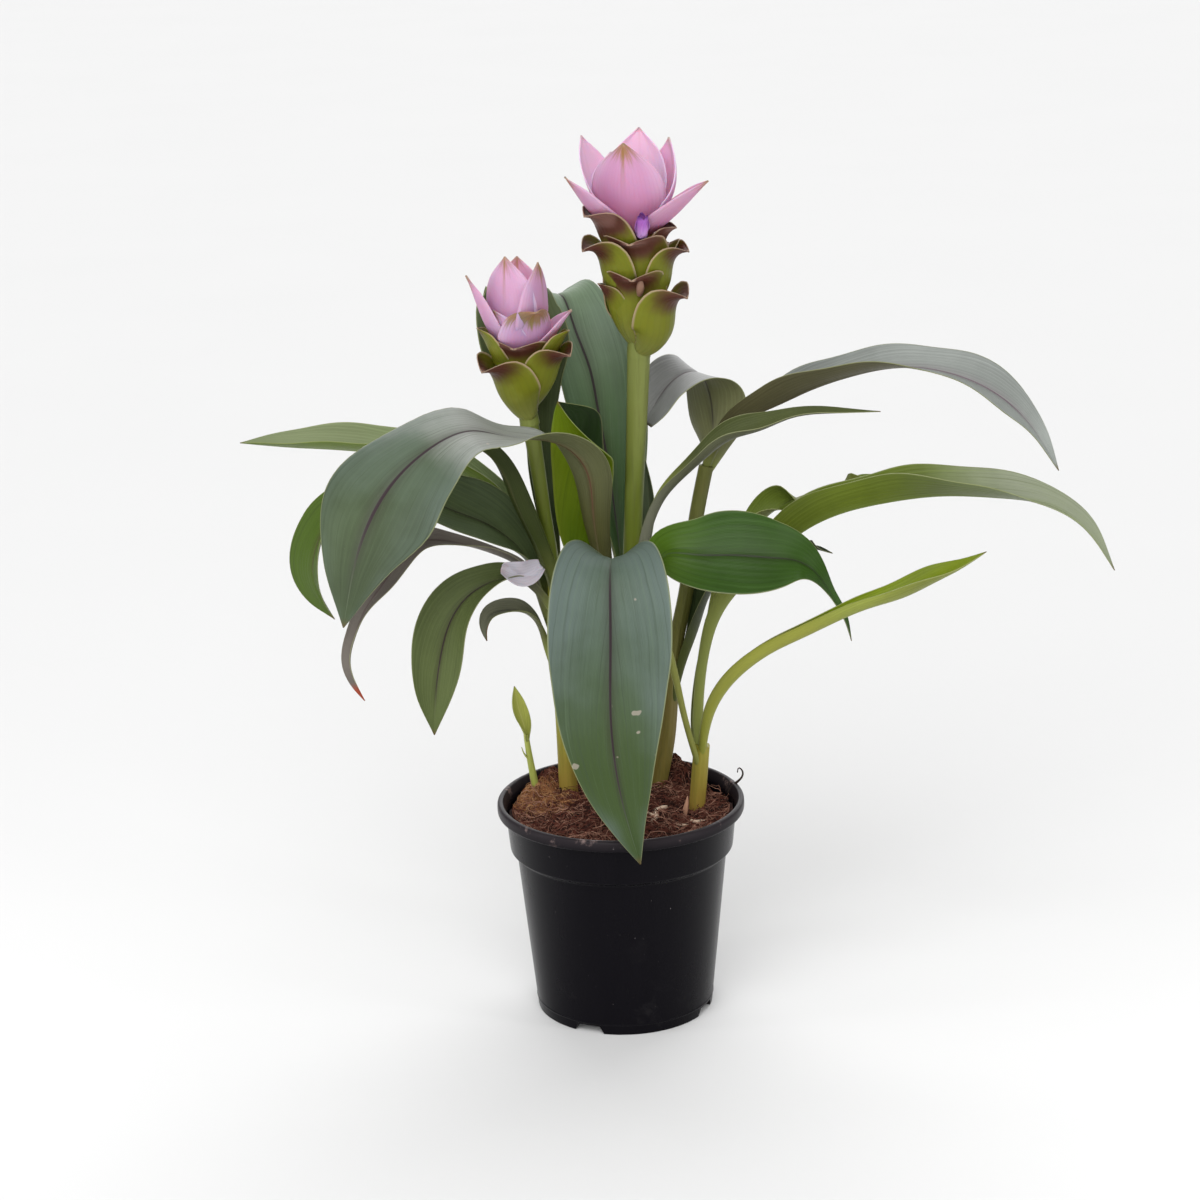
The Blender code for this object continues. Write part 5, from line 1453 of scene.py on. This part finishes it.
# %% [markdown]
# ## Roots
# A pale branched root lies on the coir at the front, with a smaller one beside it, a red-brown bud near the
# right shoot, and a dry black curl that hooks over the rim.

# %% Roots
ROOT_TRUNK = ((18, -21), (21, -13), (21, -4), (28, 3))
ROOT_BRANCH = ((21, -13), (17, -8), (13, -4))
SMALL_ROOT = ((42, -17), (45, -19), (49, -18), (51, -21))
ROOT_SCRAP = ((33, -22), (36, -24), (40, -23))
ROOT_BUD = ((38, -4, 119), (39, -5, 125), (40, -5, 130), (40.5, -5, 134))
DRY_CURL = ((66, 20, 126), (70, 19, 132), (74, 18, 136), (75, 18, 141), (73, 18, 143), (72, 18, 140))
ROOT_LIFT = 1.6


def lying(points, lift=ROOT_LIFT):
    """Points over the coir at a small height above it."""
    return [(x, y, soil_height(x, y) + lift) for x, y in points]


root_finish = stem_finish("root_pale", (0.74, 0.58, 0.46), (0.62, 0.46, 0.34), 120, 126, 0.12)
red_bud_finish = stem_finish("root_bud", (0.42, 0.15, 0.10), (0.52, 0.28, 0.18), 120, 132, 0.4)
black_finish = stem_finish("dry_curl", (0.02, 0.015, 0.012), (0.03, 0.02, 0.015), 120, 150, 0.1)
shape = bmesh.new()
add_tube(shape, lying(ROOT_TRUNK), (1.0, 1.5, 1.1), rings=30,
         swell=lambda share, angle: 0.2 * math.sin(share * 23))
add_tube(shape, lying(ROOT_BRANCH), (1.0, 0.8, 0.5), sides=10, rings=16)
add_piece("root_branched", shape, [root_finish], "root_pale", ["surface_root"])
shape = bmesh.new()
add_tube(shape, lying(SMALL_ROOT, 1.2), (0.9, 1.1, 0.5), sides=10, rings=18)
add_tube(shape, lying(ROOT_SCRAP, 1.0), (0.6, 0.8, 0.3), sides=10, rings=14)
add_piece("root_small", shape, [root_finish], "root_pale")
tube_piece("root_bud", ROOT_BUD, (1.4, 1.7, 1.3, 0.3), red_bud_finish, "root_pale", rings=20)
tube_piece("dry_curl", DRY_CURL, (0.5, 0.9, 0.7, 0.5, 0.3), black_finish, "red_brown_coir",
           sides=10, rings=30)
print("roots laid")
